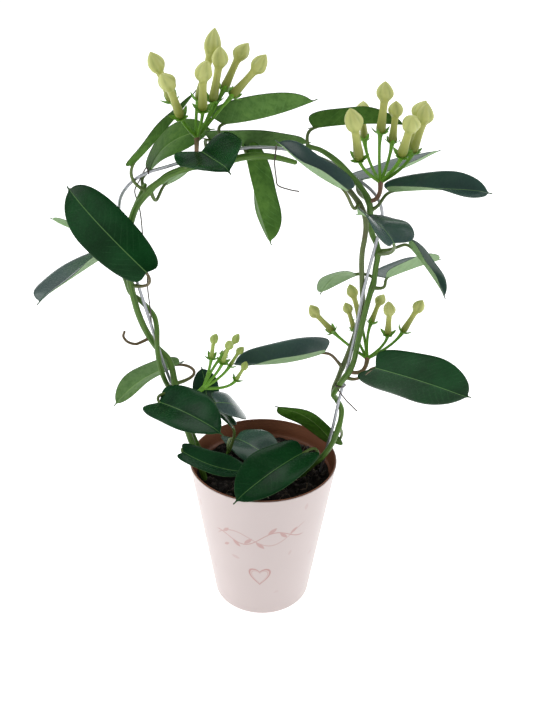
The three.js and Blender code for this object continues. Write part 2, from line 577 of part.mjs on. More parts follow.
// A cluster: one stalk from the stem, and a small stalk with a bud for each flower.
function cluster({ stem, foot, bend, top, girth, buds }) {
  const head = point(top);
  const start = stalkStart(stem, foot, point(bend), PEDUNCLE_RADIUS);
  const stalk = new THREE.QuadraticBezierCurve3(start, point(bend), head);
  const hub = new THREE.IcosahedronGeometry(PEDUNCLE_RADIUS * HUB_SWELL, 0).translate(...top);
  const parts = [tube(stalk, PEDUNCLE_RADIUS, PEDUNCLE_STEPS, STEM_SIDES), hub];
  for (const [base, tip] of buds) {
    const [from, to] = [point(base), point(tip)];
    const axis = to.clone().sub(from);
    const length = axis.length();
    axis.normalize();
    const pull = from.clone().addScaledVector(axis, -from.distanceTo(head) * PEDICEL_BOW);
    const end = from.clone().addScaledVector(axis, PEDICEL_SUNK);
    const pedicel = new THREE.QuadraticBezierCurve3(head, pull, end);
    parts.push(tube(pedicel, PEDICEL_RADIUS, PEDICEL_STEPS, STALK_SIDES));
    parts.push(aimed(bud(length, girth), from, axis));
  }
  return join(parts);
}

// The route of a tie: an arc round the far side of the wire, another round the stem, and the
// tail.
function tieRoute({ stem, near, tail }) {
  const { curve, radius } = stems[stem];
  const share = nearestShare(hoop, point(near));
  const onWire = hoop.getPoint(share);
  const onStem = curve.getPoint(nearestShare(curve, onWire));
  const outward = onStem.clone().sub(onWire).normalize();
  const side = new THREE.Vector3().crossVectors(outward, hoop.getTangent(share)).normalize();
  const arc = (centre, reach, degrees) => degrees.map((turn) => {
    const angle = THREE.MathUtils.degToRad(turn);
    return centre.clone()
      .addScaledVector(outward, reach * Math.cos(angle))
      .addScaledVector(side, reach * Math.sin(angle));
  });
  const points = [
    ...arc(onStem, radius + TIE_RADIUS + 3 * GAP, TIE_FIRST_ARC),
    ...arc(onWire, WIRE_RADIUS + TIE_RADIUS + 2 * GAP, TIE_WIRE_ARC),
    ...arc(onStem, radius + TIE_RADIUS + 3 * GAP, TIE_LAST_ARC),
    ...tail.map(point),
  ];
  return new THREE.CatmullRomCurve3(points, false, 'centripetal');
}

// Assembly

add('cover_pot', coverPot(), COLOURS.cover, ROUGHNESS.cover);
add('nursery_pot', nurseryPot(), COLOURS.nursery, ROUGHNESS.nursery);

const hole = (curve, radius) => toSolid(tube(curve, radius + GAP, HOLE_STEPS, STEM_SIDES));
let soil = toSolid(soilBody()).subtract(hole(hoop, WIRE_RADIUS));
for (const { curve, radius } of Object.values(stems)) soil = soil.subtract(hole(curve, radius));
add('soil', toGeometry(soil), COLOURS.soil, ROUGHNESS.soil);

const wire = tube(hoop, WIRE_RADIUS, HOOP_STEPS, STEM_SIDES);
add('wire_hoop', wire, COLOURS.wire, ROUGHNESS.wire, WIRE_METALNESS);
for (const [name, { curve, radius, steps, color }] of Object.entries(stems)) {
  add(`stem_${name}`, tube(curve, radius, steps, STEM_SIDES), color);
}

const [stalkFoot, ...stalkPoints] = BARE_STALK;
const stalkFrom = stalkStart('left', stalkFoot, point(stalkPoints[0]), PETIOLE_RADIUS);
const stalkRoute = route([stalkFrom.toArray(), ...stalkPoints]);
add('bare_stalk', tube(stalkRoute, PETIOLE_RADIUS, PETIOLE_STEPS, STALK_SIDES), COLOURS.oldStem);

for (const [name, tie] of Object.entries(TIES)) {
  add(name, tube(tieRoute(tie), TIE_RADIUS, TIE_STEPS, STALK_SIDES), COLOURS.tie);
}
add('tie_left', tube(route(LONG_TIE), TIE_RADIUS, TIE_STEPS, STALK_SIDES), COLOURS.tie);

LEAVES.forEach((leaf, i) => {
  const name = `leaf_${String(i + 1).padStart(2, '0')}`;
  add(name, leafBody(leaf), COLOURS.leaf, ROUGHNESS.leaf);
});
for (const [name, parts] of Object.entries(CLUSTERS)) add(name, cluster(parts), COLOURS.bud);

export default plant;
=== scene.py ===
# %% [markdown]
# A potted Madagascar jasmine on a wire hoop, in Blender. The CAD part gives the frame: where
# the pots stand, how the wire and the stems run and where each leaf and bud sits. Here every
# one of those plain solids is grown again as a fine surface, with the skin of the real thing.
# All lengths in this file are millimetres, and the mesh maker turns them into metres.

# %% Load the frame
import bpy
import numpy as np
from mathutils import Matrix, Vector


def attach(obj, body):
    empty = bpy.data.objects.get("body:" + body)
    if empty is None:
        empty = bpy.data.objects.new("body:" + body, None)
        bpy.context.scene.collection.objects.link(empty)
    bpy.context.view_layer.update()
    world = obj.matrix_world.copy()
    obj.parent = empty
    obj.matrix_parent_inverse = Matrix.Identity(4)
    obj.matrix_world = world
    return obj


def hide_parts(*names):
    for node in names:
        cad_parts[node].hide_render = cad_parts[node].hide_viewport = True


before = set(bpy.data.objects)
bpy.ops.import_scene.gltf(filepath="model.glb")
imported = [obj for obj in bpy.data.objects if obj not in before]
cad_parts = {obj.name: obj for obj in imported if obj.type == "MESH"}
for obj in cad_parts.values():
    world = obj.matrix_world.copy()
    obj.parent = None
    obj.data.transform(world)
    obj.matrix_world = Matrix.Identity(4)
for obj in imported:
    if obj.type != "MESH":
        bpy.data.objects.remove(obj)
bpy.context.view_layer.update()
MM = 0.001
rng = np.random.default_rng(7)
print("nodes in the frame:", len(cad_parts))

# %% [markdown]
# The camera looks down on the plant from the front, a little turned about its own axis. Its
# place was fitted to the rim and the foot of the pot and to the top of the hoop. We give it
# as three directions, because a camera in Blender looks along its own -Z.

# %% Camera
CAMERA_PLACE = (1.7, -743.0, 642.0)
CAMERA_PITCH = 29.01
CAMERA_ROLL = 0.695
CAMERA_LENS = 56.0
SENSOR_WIDTH = 36.0


def camera_directions(pitch, roll):
    """The camera's right and up directions and the way it looks: level, tipped down by the
    pitch, then turned about the line of sight by the roll."""
    p, r = np.radians([pitch, roll])
    forward = np.array([0, np.cos(p), -np.sin(p)])
    level_up = np.array([0, np.sin(p), np.cos(p)])
    level_right = np.array([1.0, 0, 0])
    right = level_right * np.cos(r) + level_up * np.sin(r)
    up = level_up * np.cos(r) - level_right * np.sin(r)
    return right, up, forward


def make_camera():
    """Its three directions are the columns of the turn, and its place is the last column."""
    right, up, forward = camera_directions(CAMERA_PITCH, CAMERA_ROLL)
    data = bpy.data.cameras.new("camera")
    data.lens = CAMERA_LENS
    data.sensor_width = SENSOR_WIDTH
    camera = bpy.data.objects.new("camera", data)
    turn = np.eye(4)
    turn[:3, 0], turn[:3, 1], turn[:3, 2] = right, up, -forward
    turn[:3, 3] = np.array(CAMERA_PLACE) * MM
    camera.matrix_world = Matrix(turn.tolist())
    bpy.context.collection.objects.link(camera)
    bpy.context.scene.camera = camera
    return camera


print("camera stands at, in metres:", [round(v, 3) for v in make_camera().matrix_world.translation])

# %% [markdown]
# Everything below is a grid of points. A leaf is two grids sewn together at the margin, a
# stem is a ring carried along a path, a pot is a profile carried round an axis. Blender has
# its own tools for tubes and turned shapes, but with arrays we choose every point ourselves,
# and the points can carry values for the shader. One helper numbers the faces between the
# points of a grid, and another one closes a ring with a fan of triangles.

# %% Grids
def grid_faces(rows, columns, around=False):
    """The four corners of every face between neighbours of a rows by columns grid of points,
    numbered row by row. With around set, the last column joins the first."""
    across = columns if around else columns - 1
    i, j = np.meshgrid(np.arange(rows - 1), np.arange(across), indexing="ij")
    k = (j + 1) % columns
    corners = [i * columns + j, i * columns + k, (i + 1) * columns + k, (i + 1) * columns + j]
    return np.stack(corners, -1).reshape(-1, 4)


def fan(ring, pole):
    """Triangles from a ring of point numbers to one point."""
    return np.stack([ring, np.roll(ring, -1), np.full(len(ring), pole)], -1)


def caps(sides, rows):
    """Triangles that close the first and the last ring of a grid round two poles, whose
    numbers follow those of the grid."""
    first = fan(np.arange(sides), rows * sides)[:, ::-1]
    last = fan(np.arange(sides) + (rows - 1) * sides, rows * sides + 1)
    return np.vstack([first, last])


print("faces of a grid of 3 by 4 points:", len(grid_faces(3, 4)), "and of a ring:",
      len(grid_faces(3, 4, around=True)), "with caps of", len(caps(4, 3)), "triangles")

# %% [markdown]
# A plant piece is made of several closed bodies: a leaf has a blade and a stalk, a cluster
# has stalks, buds and sepals. We keep each body as arrays and join them only at the end, in
# one mesh. Then a piece is one object, which rides on the root and stands for one CAD node.

# %% Bodies and pieces
class Body:
    """A closed surface that is still only arrays: points, faces with four and with three
    corners, a material number, and named values at the points."""

    def __init__(self, points, quads, tris=None, look=0, **values):
        """Takes lists or arrays of any shape and keeps one row for each point or face."""
        self.points = np.asarray(points, float).reshape(-1, 3)
        self.quads = np.asarray(quads, int).reshape(-1, 4)
        self.tris = np.zeros((0, 3), int) if tris is None else np.asarray(tris, int)
        self.look = look
        self.values = values


def make_piece(name, node, bodies, looks):
    """One object from several bodies, riding on the root and standing for a CAD node. The
    bodies follow each other in the mesh, so each one's faces count on from the last."""
    offset, points, faces, look = 0, [], [], []
    names = sorted({key for body in bodies for key in body.values})
    values = {key: [] for key in names}
    for body in bodies:
        points.append(body.points)
        faces += (body.quads + offset).tolist() + (body.tris + offset).tolist()
        look += [body.look] * (len(body.quads) + len(body.tris))
        offset += len(body.points)
        for key in names:
            given = body.values.get(key, 0.0)
            values[key].append(np.broadcast_to(np.ravel(given), (len(body.points),)))
    mesh = bpy.data.meshes.new(name)
    mesh.from_pydata((np.concatenate(points) * MM).tolist(), [], faces)
    mesh.polygons.foreach_set("material_index", np.array(look, dtype=np.int32))
    mesh.polygons.foreach_set("use_smooth", np.ones(len(faces), dtype=bool))
    for key in names:
        layer = mesh.attributes.new(key, "FLOAT", "POINT")
        layer.data.foreach_set("value", np.concatenate(values[key]).astype(np.float32))
    for material in looks:
        mesh.materials.append(material)
    mesh.validate()
    piece = bpy.data.objects.new(name, mesh)
    bpy.context.collection.objects.link(piece)
    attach(piece, "root")
    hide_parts(node)
    print(f"{name} stands for {node}, with {len(mesh.polygons)} faces")
    return piece


print("a body keeps:", list(vars(Body([[0, 0, 0]], []))))

# %% [markdown]
# Stems, stalks and the wire follow paths. They could be drawn by hand as curves, but here
# each is worked out from the same points as in the CAD part, so nothing moves. The wire and
# the stems run on a centripetal Catmull-Rom curve, which passes through its points without
# loops, and the stalks on short Bezier curves.

# %% Paths
def spline(points, per_span=10):
    """Points on the centripetal Catmull-Rom curve. The knots stand apart by the square root
    of the distance between neighbours, and beyond each end the next point is mirrored."""
    p = np.asarray(points, float)
    p = np.vstack([2 * p[0] - p[1], p, 2 * p[-1] - p[-2]])
    gap = np.sqrt(np.linalg.norm(np.diff(p, axis=0), axis=1))[:, None]
    p0, p1, p2, p3 = p[:-3], p[1:-2], p[2:-1], p[3:]
    d0, d1, d2 = gap[:-2], gap[1:-1], gap[2:]
    m1 = ((p1 - p0) / d0 - (p2 - p0) / (d0 + d1) + (p2 - p1) / d1) * d1
    m2 = ((p2 - p1) / d1 - (p3 - p1) / (d1 + d2) + (p3 - p2) / d2) * d1
    t = np.linspace(0, 1, per_span, endpoint=False)[None, :, None]
    a, b, m, n = p1[:, None], p2[:, None], m1[:, None], m2[:, None]
    curve = a + m * t + (3 * (b - a) - 2 * m - n) * t**2 + (2 * (a - b) + m + n) * t**3
    return np.vstack([curve.reshape(-1, 3), p[-2]])


def bow(start, pull, end, steps=20):
    """A quadratic Bezier curve: it leaves start towards pull and comes to end from pull."""
    a, b, c = (np.asarray(q, float) for q in (start, pull, end))
    t = np.linspace(0, 1, steps)[:, None]
    return a * (1 - t) ** 2 + 2 * b * t * (1 - t) + c * t**2


def sweep(start, pull, lead, end, steps=24):
    """A cubic Bezier curve: it leaves start towards pull and comes to end from lead."""
    a, b, c, d = (np.asarray(q, float) for q in (start, pull, lead, end))
    t = np.linspace(0, 1, steps)[:, None]
    return a * (1 - t) ** 3 + 3 * b * t * (1 - t) ** 2 + 3 * c * t**2 * (1 - t) + d * t**3


def lengths(path):
    """Distance along the path at each of its points."""
    steps = np.linalg.norm(np.diff(path, axis=0), axis=1)
    return np.concatenate([[0.0], np.cumsum(steps)])


corner = bow((0, 0, 0), (0, 0, 50), (50, 0, 50))
print("a bow over a corner of 50 mm is so long, in mm:", round(lengths(corner)[-1], 1))

# %% [markdown]
# A tube is a ring carried along such a path. A Blender curve with a bevel would do that too,
# but its points couldn't tell the shader how far along the stem they are. The rings need a
# direction to start counting from. We take the one that the path leaves most alone, the
# normal of the plane that fits it best, and so no ring turns against its neighbours.

# %% Tubes
DOME_ANGLES = (75, 50, 25)


def tube(path, radius, sides, look=0, **values):
    """A ring of the given radius carried along a path and closed at both ends by a small
    dome: past each end the centre goes on by radius times sine and the ring shrinks by
    cosine. The values named along and round are millimetres along and turns about it."""
    path = np.asarray(path, float)
    radius = np.broadcast_to(np.asarray(radius, float), (len(path),)).copy()
    tangent = np.gradient(path, axis=0)
    tangent /= np.linalg.norm(tangent, axis=1)[:, None]
    along = lengths(path)
    turn = np.radians(DOME_ANGLES)
    back = turn[::-1]
    first = path[0] - tangent[0] * radius[0] * np.sin(turn)[:, None]
    last = path[-1] + tangent[-1] * radius[-1] * np.sin(back)[:, None]
    path = np.vstack([first, path, last])
    tangent = np.vstack([[tangent[0]] * len(turn), tangent, [tangent[-1]] * len(turn)])
    along = np.pad(along, len(turn), mode="edge")
    radius = np.concatenate([radius[0] * np.cos(turn), radius, radius[-1] * np.cos(back)])
    flat = np.linalg.svd(path - path.mean(0))[2][2]
    side = np.cross(tangent, flat)
    side /= np.linalg.norm(side, axis=1)[:, None]
    over = np.cross(tangent, side)
    angle = np.linspace(0, 2 * np.pi, sides, endpoint=False)
    ring = side[:, None] * np.cos(angle)[:, None] + over[:, None] * np.sin(angle)[:, None]
    points = (path[:, None] + ring * radius[:, None, None]).reshape(-1, 3)
    rows = len(path)
    named = {
        "along": np.concatenate([np.repeat(along, sides), along[[0, -1]]]),
        "round": np.concatenate([np.tile(angle / (2 * np.pi), rows), [0, 0]]),
    }
    quads = grid_faces(rows, sides, around=True)
    points = np.vstack([points, path[0], path[-1]])
    return Body(points, quads, caps(sides, rows), look, **named, **values)


print("points of a tube along that bow:", len(tube(corner, 2.0, 12).points))

# %% [markdown]
# A material in Blender is a tree of nodes, and the noises and masks of a leaf's skin would
# be dozens of them placed by hand. Shader maths reads best as plain formulas. The class
# below wraps one socket, and each operator between two of them, or between one and a
# number, adds a Math node.

# %% Shader maths
class Value:
    """A socket that can stand in a formula."""

    def __init__(self, finish, socket):
        """Keeps the socket, and the finish that new nodes go into."""
        self.finish, self.socket = finish, socket

    def math(self, operation, *others):
        """A Math node on this value and the others, in their order."""
        return self.finish.math(operation, self, *others)

    # Each operator adds the Math node of its name. The reflected forms, from __rsub__ on,
    # serve a number that stands on the left, as in 1 - mask.

    def __add__(self, other):
        return self.math("ADD", other)

    def __sub__(self, other):
        return self.math("SUBTRACT", other)

    def __mul__(self, other):
        return self.math("MULTIPLY", other)

    def __truediv__(self, other):
        return self.math("DIVIDE", other)

    def __pow__(self, other):
        return self.math("POWER", other)

    def __rsub__(self, other):
        return self.finish.math("SUBTRACT", other, self)

    def __rtruediv__(self, other):
        return self.finish.math("DIVIDE", other, self)

    def __rpow__(self, other):
        return self.finish.math("POWER", other, self)

    __radd__, __rmul__ = __add__, __mul__

    def size(self):
        """The value without its sign."""
        return self.math("ABSOLUTE")

    def root(self):
        """The square root."""
        return self.math("SQRT")

    def sine(self):
        """The sine of an angle in radians."""
        return self.math("SINE")

    def cosine(self):
        """The cosine of an angle in radians."""
        return self.math("COSINE")

    def part(self):
        """What is left after the whole number is taken off."""
        return self.math("FRACT")

    def most(self, other):
        """The greater of the two."""
        return self.math("MAXIMUM", other)

    def step(self, low, high):
        """A smooth step, 3 t^2 - 2 t^3, from 0 at low to 1 at high. Low may be the larger of
        the two."""
        node = self.finish.node("MapRange", {"interpolation_type": "SMOOTHSTEP", "clamp": True}, {
            "Value": self, "From Min": min(low, high), "From Max": max(low, high),
            "To Min": float(low > high), "To Max": float(low <= high)})
        return Value(self.finish, node.outputs["Result"])


print("values stand in formulas with:", [name for name in vars(Value) if not name.startswith("_")])

# %% [markdown]
# Every finish of the plant starts from the Principled shader. One method adds a node of any
# kind, and the others are short names for what we use often: a noise, a mix of two colours,
# a value that the mesh carries, and a bump.

# %% Materials
class Finish:
    """A material under construction, with its Principled shader."""

    def __init__(self, name, **fixed):
        """A new material. What is the same all over is fixed on the shader's own sockets."""
        self.material = bpy.data.materials.new(name)
        self.material.use_nodes = True
        self.tree = self.material.node_tree
        self.shader = self.tree.nodes["Principled BSDF"]
        self.set(**fixed)

    def node(self, kind, settings, sockets):
        """Adds one node: its settings first, then the values or links of its sockets."""
        made = self.tree.nodes.new("ShaderNode" + kind)
        for key, value in settings.items():
            setattr(made, key, value)
        for key, value in sockets.items():
            self.join(made.inputs[key], value)
        return made

    def math(self, operation, *terms):
        """A Math node on the terms, which are values or numbers, in their order."""
        node = self.node("Math", {"operation": operation}, dict(enumerate(terms)))
        return Value(self, node.outputs["Value"])

    def join(self, socket, value):
        """Links a value or a socket to a socket, or sets a plain number or colour on it."""
        if isinstance(value, Value):
            value = value.socket
        if isinstance(value, bpy.types.NodeSocket):
            self.tree.links.new(value, socket)
        else:
            socket.default_value = value

    def set(self, **sockets):
        """Sets sockets of the shader. Their names are written with _ for a space."""
        for key, value in sockets.items():
            self.join(self.shader.inputs[key.replace("_", " ")], value)

    def attribute(self, name):
        """A value that the mesh carries at its points."""
        node = self.node("Attribute", {"attribute_name": name}, {})
        return Value(self, node.outputs["Fac"])

    def place(self):
        """The Object coordinates, in metres, as a socket."""
        return self.node("TexCoord", {}, {}).outputs["Object"]

    def axes(self):
        """The Object coordinates as three numbers in millimetres."""
        parts = self.node("SeparateXYZ", {}, {"Vector": self.place()})
        return [Value(self, output) * (1 / MM) for output in parts.outputs]

    def noise(self, scale, detail=3.0, rough=0.5, where=None):
        """Noise between 0 and 1 with so many lumps to the metre."""
        node = self.node("TexNoise", {}, {
            "Vector": where or self.place(), "Scale": scale, "Detail": detail, "Roughness": rough})
        return Value(self, node.outputs["Fac"])

    def mix(self, share, first, second):
        """Two colours mixed by a share. A colour is three numbers or a socket."""
        node = self.node("Mix", {"data_type": "RGBA"}, {0: share})
        for key, value in ((6, first), (7, second)):
            self.join(node.inputs[key], (*value, 1.0) if isinstance(value, tuple) else value)
        return node.outputs[2]

    def bump(self, height, distance):
        """Lights the surface as if it were raised by the height times the distance, in mm."""
        node = self.node("Bump", {}, {"Height": height, "Distance": distance * MM})
        self.set(Normal=node.outputs["Normal"])

    def done(self):
        """Reports how many nodes the finish took, and gives its material."""
        print(f"finish {self.material.name}: {len(self.tree.nodes)} nodes")
        return self.material


# %% [markdown]
# The blades are leathery. Above they are a deep green with a waxy gloss and one thin pale
# midrib; below they are a matt, lighter green and the rib stands out. Both sides are one
# material: the mesh tells the shader on which side a point lies (under), how far it is
# along the rib (run) and off it (off), how far from the margin (edge), all in millimetres,
# and one value for the whole leaf that makes its underside paler and paints a grey sheen,
# a painted reflection of the lights, into the colour of its upper face.

# %% Leaf finish
TOP_DEEP, TOP_LIT = (0.0024, 0.026, 0.0055), (0.0065, 0.052, 0.0125)
TOP_PAINTED_SHEEN, TOP_VEIN = (0.070, 0.115, 0.125), (0.035, 0.110, 0.040)
TOP_RIB, TOP_EDGE_LIGHT = (0.13, 0.26, 0.08), (0.06, 0.12, 0.05)
BELOW_DEEP, BELOW_LIT = (0.040, 0.115, 0.010), (0.090, 0.205, 0.028)
BELOW_PALE, BELOW_NET, BELOW_VEIN = (0.29, 0.43, 0.23), (0.018, 0.065, 0.006), (0.12, 0.26, 0.07)
BELOW_RIB, BELOW_EDGE_SHADE = (0.24, 0.38, 0.12), (0.02, 0.05, 0.012)
VEIN_SPACING, VEIN_SLANT, VEIN_CURVE = 6.2, 0.75, 0.012


def leaf_veins(f, off, run, edge, cloud):
    """1 on the side veins: lines where (run - slant |off| - curve off^2) / spacing, shaken a
    little by the cloud, passes a half. They fade at the rib, at the margin and in patches."""
    phase = (run - off.size() * VEIN_SLANT - off * off * VEIN_CURVE) / VEIN_SPACING + cloud * 0.9
    vein = (phase.part() - 0.5).size().step(0.12, 0.0)
    patches = f.noise(70.0, 2.0).step(0.42, 0.62)
    return vein * off.size().step(0.4, 2.0) * edge.step(0.5, 3.0) * patches


def leaf_top(f, cloud, pale, vein, rib, margin):
    """The upper face: green clouds, then a painted grey sheen, which is a painted reflection of the
    lights, the veins, the rib, and painted edge light as a paler line at the margin.
    """
    top = f.mix(cloud.step(0.3, 0.7), TOP_DEEP, TOP_LIT)
    # Painted sheen: a grey-blue reflection of the lights, mixed into the colour by each leaf's own
    # amount.
    top = f.mix(pale * 0.62, top, TOP_PAINTED_SHEEN)
    top = f.mix(vein * 0.22, top, TOP_VEIN)
    top = f.mix(rib * 0.70, top, TOP_RIB)
    # Painted edge light: a paler line along the upper margin.
    return f.mix(margin * 0.4, top, TOP_EDGE_LIGHT)


def leaf_below(f, cloud, pale, net, vein, rib, margin):
    """The lower face: lighter clouds under a fine dark net that paler leaves show less, then the
    veins, the rib, and painted shade, darker along the margin.
    """
    below = f.mix(cloud.step(0.3, 0.7), BELOW_DEEP, BELOW_LIT)
    below = f.mix(pale, below, BELOW_PALE)
    below = f.mix(net.step(0.40, 0.66) * (0.45 - pale * 0.35), below, BELOW_NET)
    below = f.mix(vein * 0.35, below, BELOW_VEIN)
    below = f.mix(rib * 0.8, below, BELOW_RIB)
    # Painted shade: the underside darker along the margin.
    return f.mix(margin * 0.6, below, BELOW_EDGE_SHADE)


def leaf_finish():
    """Both faces mixed by under; the gloss is less below, and the coat lies on top only."""
    f = Finish("leaf", IOR=1.45, Specular_IOR_Level=0.07, Coat_Roughness=0.22)
    off, run, edge = f.attribute("off"), f.attribute("run"), f.attribute("edge")
    # The per-leaf value makes the underside paler and paints the grey sheen on the upper face.
    under, pale = f.attribute("under"), f.attribute("pale")
    cloud, fine, net = f.noise(38.0, 4.0), f.noise(420.0, 3.0), f.noise(210.0, 5.0, 0.7)
    vein = leaf_veins(f, off, run, edge, cloud)
    rib, rib_side = off.size().step(0.50, 0.18), off.size().step(2.2, 0.5)
    # The margin band carries painted edge light on the upper face and painted shade on the lower
    # one.
    margin = edge.step(0.45, 0.10)
    top = leaf_top(f, cloud, pale, vein, rib, margin)
    below = leaf_below(f, cloud, pale, net, vein, rib, margin)
    f.set(Base_Color=f.mix(under, top, below))
    f.set(Roughness=0.22 + under * 0.26 + fine * 0.10)
    f.set(Coat_Weight=(1.0 - under) * (pale * 0.8 + 0.02))
    relief = fine * 0.12 - vein * 0.12 - rib_side * 0.5 + cloud * 1.6 + net * under * 0.4
    f.bump(relief, 0.4)
    return f.done()


LOOK_LEAF = leaf_finish()

# %% [markdown]
# Young stems are bright green with paler streaks along them and tiny brown specks; the old
# one has turned a brownish olive. Some leaf stalks are flushed with brown. A noise in Object
# coordinates would cut across a winding stem, so the streaks follow the tube's own length
# and girth, which the mesh carries at its points.

# %% Stem finishes
def streak(f, turns, stretch):
    """Noise drawn out along a tube: its place is a point on a ring, with the way along it
    pressed together."""
    along, around = f.attribute("along"), f.attribute("round")
    angle = around * (2 * np.pi)
    ring = f.node("CombineXYZ", {}, {
        "X": angle.cosine() * turns, "Y": angle.sine() * turns, "Z": along * stretch})
    return f.noise(1.0, 3.0, where=ring.outputs["Vector"])


def bark_finish(name, deep, bright, brown, browning):
    """Streaks from the deep to the bright colour, with brown patches and specks. The more
    browning, the lower the patches' noise has to be to turn brown."""
    f = Finish(name, IOR=1.45)
    lines = streak(f, 3.0, 0.05)
    patches = f.noise(60.0, 4.0, 0.6)
    specks = f.noise(900.0, 2.0).step(0.63, 0.70)
    skin = f.mix(lines.step(0.3, 0.7), deep, bright)
    skin = f.mix(patches.step(0.62 - browning, 0.82 - browning) * 0.8, skin, brown)
    skin = f.mix(specks * 0.5, skin, brown)
    f.set(Base_Color=skin, Roughness=0.42 + patches * 0.15)
    f.bump(lines * 0.8 + specks * 0.4 + patches * 0.5, 0.25)
    return f.done()


OLIVE_DEEP, OLIVE_LIT = (0.060, 0.110, 0.018), (0.110, 0.180, 0.035)
RUSSET_DEEP, RUSSET_LIT = (0.070, 0.040, 0.016), (0.150, 0.085, 0.035)


def stalk_finish():
    """Olive green, flushed with brown by the amount that the mesh gives as brown."""
    f = Finish("stalk", IOR=1.45)
    patches = f.noise(90.0, 3.0)
    green = f.mix(patches, OLIVE_DEEP, OLIVE_LIT)
    russet = f.mix(patches, RUSSET_DEEP, RUSSET_LIT)
    f.set(Base_Color=f.mix(f.attribute("brown"), green, russet), Roughness=0.42)
    f.bump(patches * 0.6 + f.noise(900.0) * 0.3, 0.2)
    return f.done()


LOOK_STALK = stalk_finish()
LOOK_STEM, LOOK_OLD_STEM, LOOK_PINK, LOOK_GREEN = (bark_finish(*colours) for colours in (
    ("stem", (0.040, 0.110, 0.008), (0.105, 0.215, 0.024), (0.085, 0.085, 0.022), 0.0),
    ("old_stem", (0.055, 0.085, 0.018), (0.115, 0.160, 0.042), (0.080, 0.070, 0.024), 0.10),
    ("flower_stalk", (0.17, 0.085, 0.05), (0.28, 0.15, 0.09), (0.12, 0.10, 0.03), 0.15),
    ("calyx", (0.085, 0.250, 0.008), (0.190, 0.430, 0.030), (0.10, 0.18, 0.02), -0.1)))

# %% [markdown]
# The buds are waxy: pale yellow with green in it, lighter on the head, partly its own colour
# and partly painted light from above, olive down the tube and darker at the foot, partly its
# own colour and partly painted shade among the sepals, darker still in the folds between the
# five rolled petals, which is painted shade, and greener all over in a young cluster.
# A little light goes into the wax, so the shader has a touch of subsurface scattering, the
# same all over.

# %% Bud finish
WAX_DEEP, WAX_LIT, WAX_HEAD_AND_LIGHT = (0.36, 0.385, 0.085), (0.50, 0.52, 0.155), (0.55, 0.58, 0.22)
WAX_FOOT_AND_SHADE, WAX_YOUNG, WAX_FOLD_SHADE = (0.17, 0.21, 0.022), (0.32, 0.46, 0.09), (0.24, 0.30, 0.06)


def bud_finish():
    """Colours by height, which the mesh gives as 0 at the foot and 1 at the point."""
    f = Finish("bud", IOR=1.45, Subsurface_Weight=0.12, Subsurface_Scale=0.003,
               Subsurface_Radius=(0.6, 0.7, 0.3))
    height, fold, young = f.attribute("height"), f.attribute("fold"), f.attribute("young")
    cloud = f.noise(140.0, 3.0)
    skin = f.mix(cloud, WAX_DEEP, WAX_LIT)
    # Partly the head's own paler colour, partly painted light from above.
    skin = f.mix(height.step(0.60, 0.84) * 0.5, skin, WAX_HEAD_AND_LIGHT)
    # Partly the tube's own olive, partly painted shade at the foot among the sepals.
    skin = f.mix(height.step(0.60, 0.0) * 0.85, skin, WAX_FOOT_AND_SHADE)
    skin = f.mix(young * 0.65, skin, WAX_YOUNG)
    # Painted shade in the creases between the rolled petals.
    skin = f.mix(fold * 0.6, skin, WAX_FOLD_SHADE)
    f.set(Base_Color=skin, Roughness=0.42 + cloud * 0.1)
    f.bump(f.noise(1500.0, 2.0) * 0.3 - fold * 0.6, 0.2)
    return f.done()


LOOK_BUD = bud_finish()

# %% [markdown]
# The wire is galvanised steel: grey, half dull, with brighter and darker flakes. The ties
# are a thin dark plastic. The soil is nearly black, with brown crumbs and fibres.

# %% Wire, tie and soil finishes
ZINC_DARK, ZINC_BRIGHT = (0.25, 0.26, 0.28), (0.50, 0.51, 0.54)
PEAT_DARK, PEAT_LIT, PEAT_FIBRE = (0.002, 0.0015, 0.0018), (0.014, 0.009, 0.007), (0.11, 0.07, 0.05)


def wire_finish():
    """Two greys mixed by flakes, which are raised a little, and duller where it is worn."""
    f = Finish("wire", Metallic=0.9)
    flakes, wear = f.noise(700.0, 3.0, 0.6), f.noise(90.0, 3.0)
    f.set(Base_Color=f.mix(flakes, ZINC_DARK, ZINC_BRIGHT), Roughness=0.26 + wear * 0.22)
    f.bump(flakes, 0.05)
    return f.done()


def soil_finish():
    """Dark lumps, with lighter threads where a fine noise is high."""
    f = Finish("soil", IOR=1.3)
    lumps, fibres = f.noise(260.0, 5.0, 0.65), f.noise(900.0, 4.0, 0.7)
    peat = f.mix(lumps, PEAT_DARK, PEAT_LIT)
    f.set(Base_Color=f.mix(fibres.step(0.60, 0.72) * 0.6, peat, PEAT_FIBRE))
    f.set(Roughness=0.82 + lumps * 0.12)
    f.bump(lumps + fibres * 0.5, 1.2)
    return f.done()


def plain_finish(name, scale, dark, light, roughness):
    """Two colours mixed by one noise."""
    f = Finish(name, Roughness=roughness)
    f.set(Base_Color=f.mix(f.noise(scale), dark, light))
    return f.done()


LOOK_WIRE, LOOK_SOIL = wire_finish(), soil_finish()
LOOK_TIE, LOOK_GRIT, LOOK_ROOT, LOOK_CRUMB = (plain_finish(*values) for values in (
    ("tie", 500.0, (0.035, 0.026, 0.020), (0.090, 0.068, 0.050), 0.5),
    ("grit", 600.0, (0.30, 0.27, 0.20), (0.55, 0.52, 0.42), 0.85),
    ("root", 600.0, (0.060, 0.036, 0.022), (0.150, 0.100, 0.060), 0.85),
    ("crumb", 600.0, (0.006, 0.004, 0.003), (0.036, 0.023, 0.016), 0.85)))

# %% [markdown]
# The nursery pot is a thin brown plastic with fine rings from its mould, paler where the
# light comes through the rim.

# %% Nursery pot finish
BROWN_DEEP, BROWN_LIT = (0.120, 0.034, 0.012), (0.185, 0.058, 0.022)
BROWN_RIM, RIM_GLOW = (0.24, 0.095, 0.048), (117.0, 131.0)
RING_PITCH = 1.6


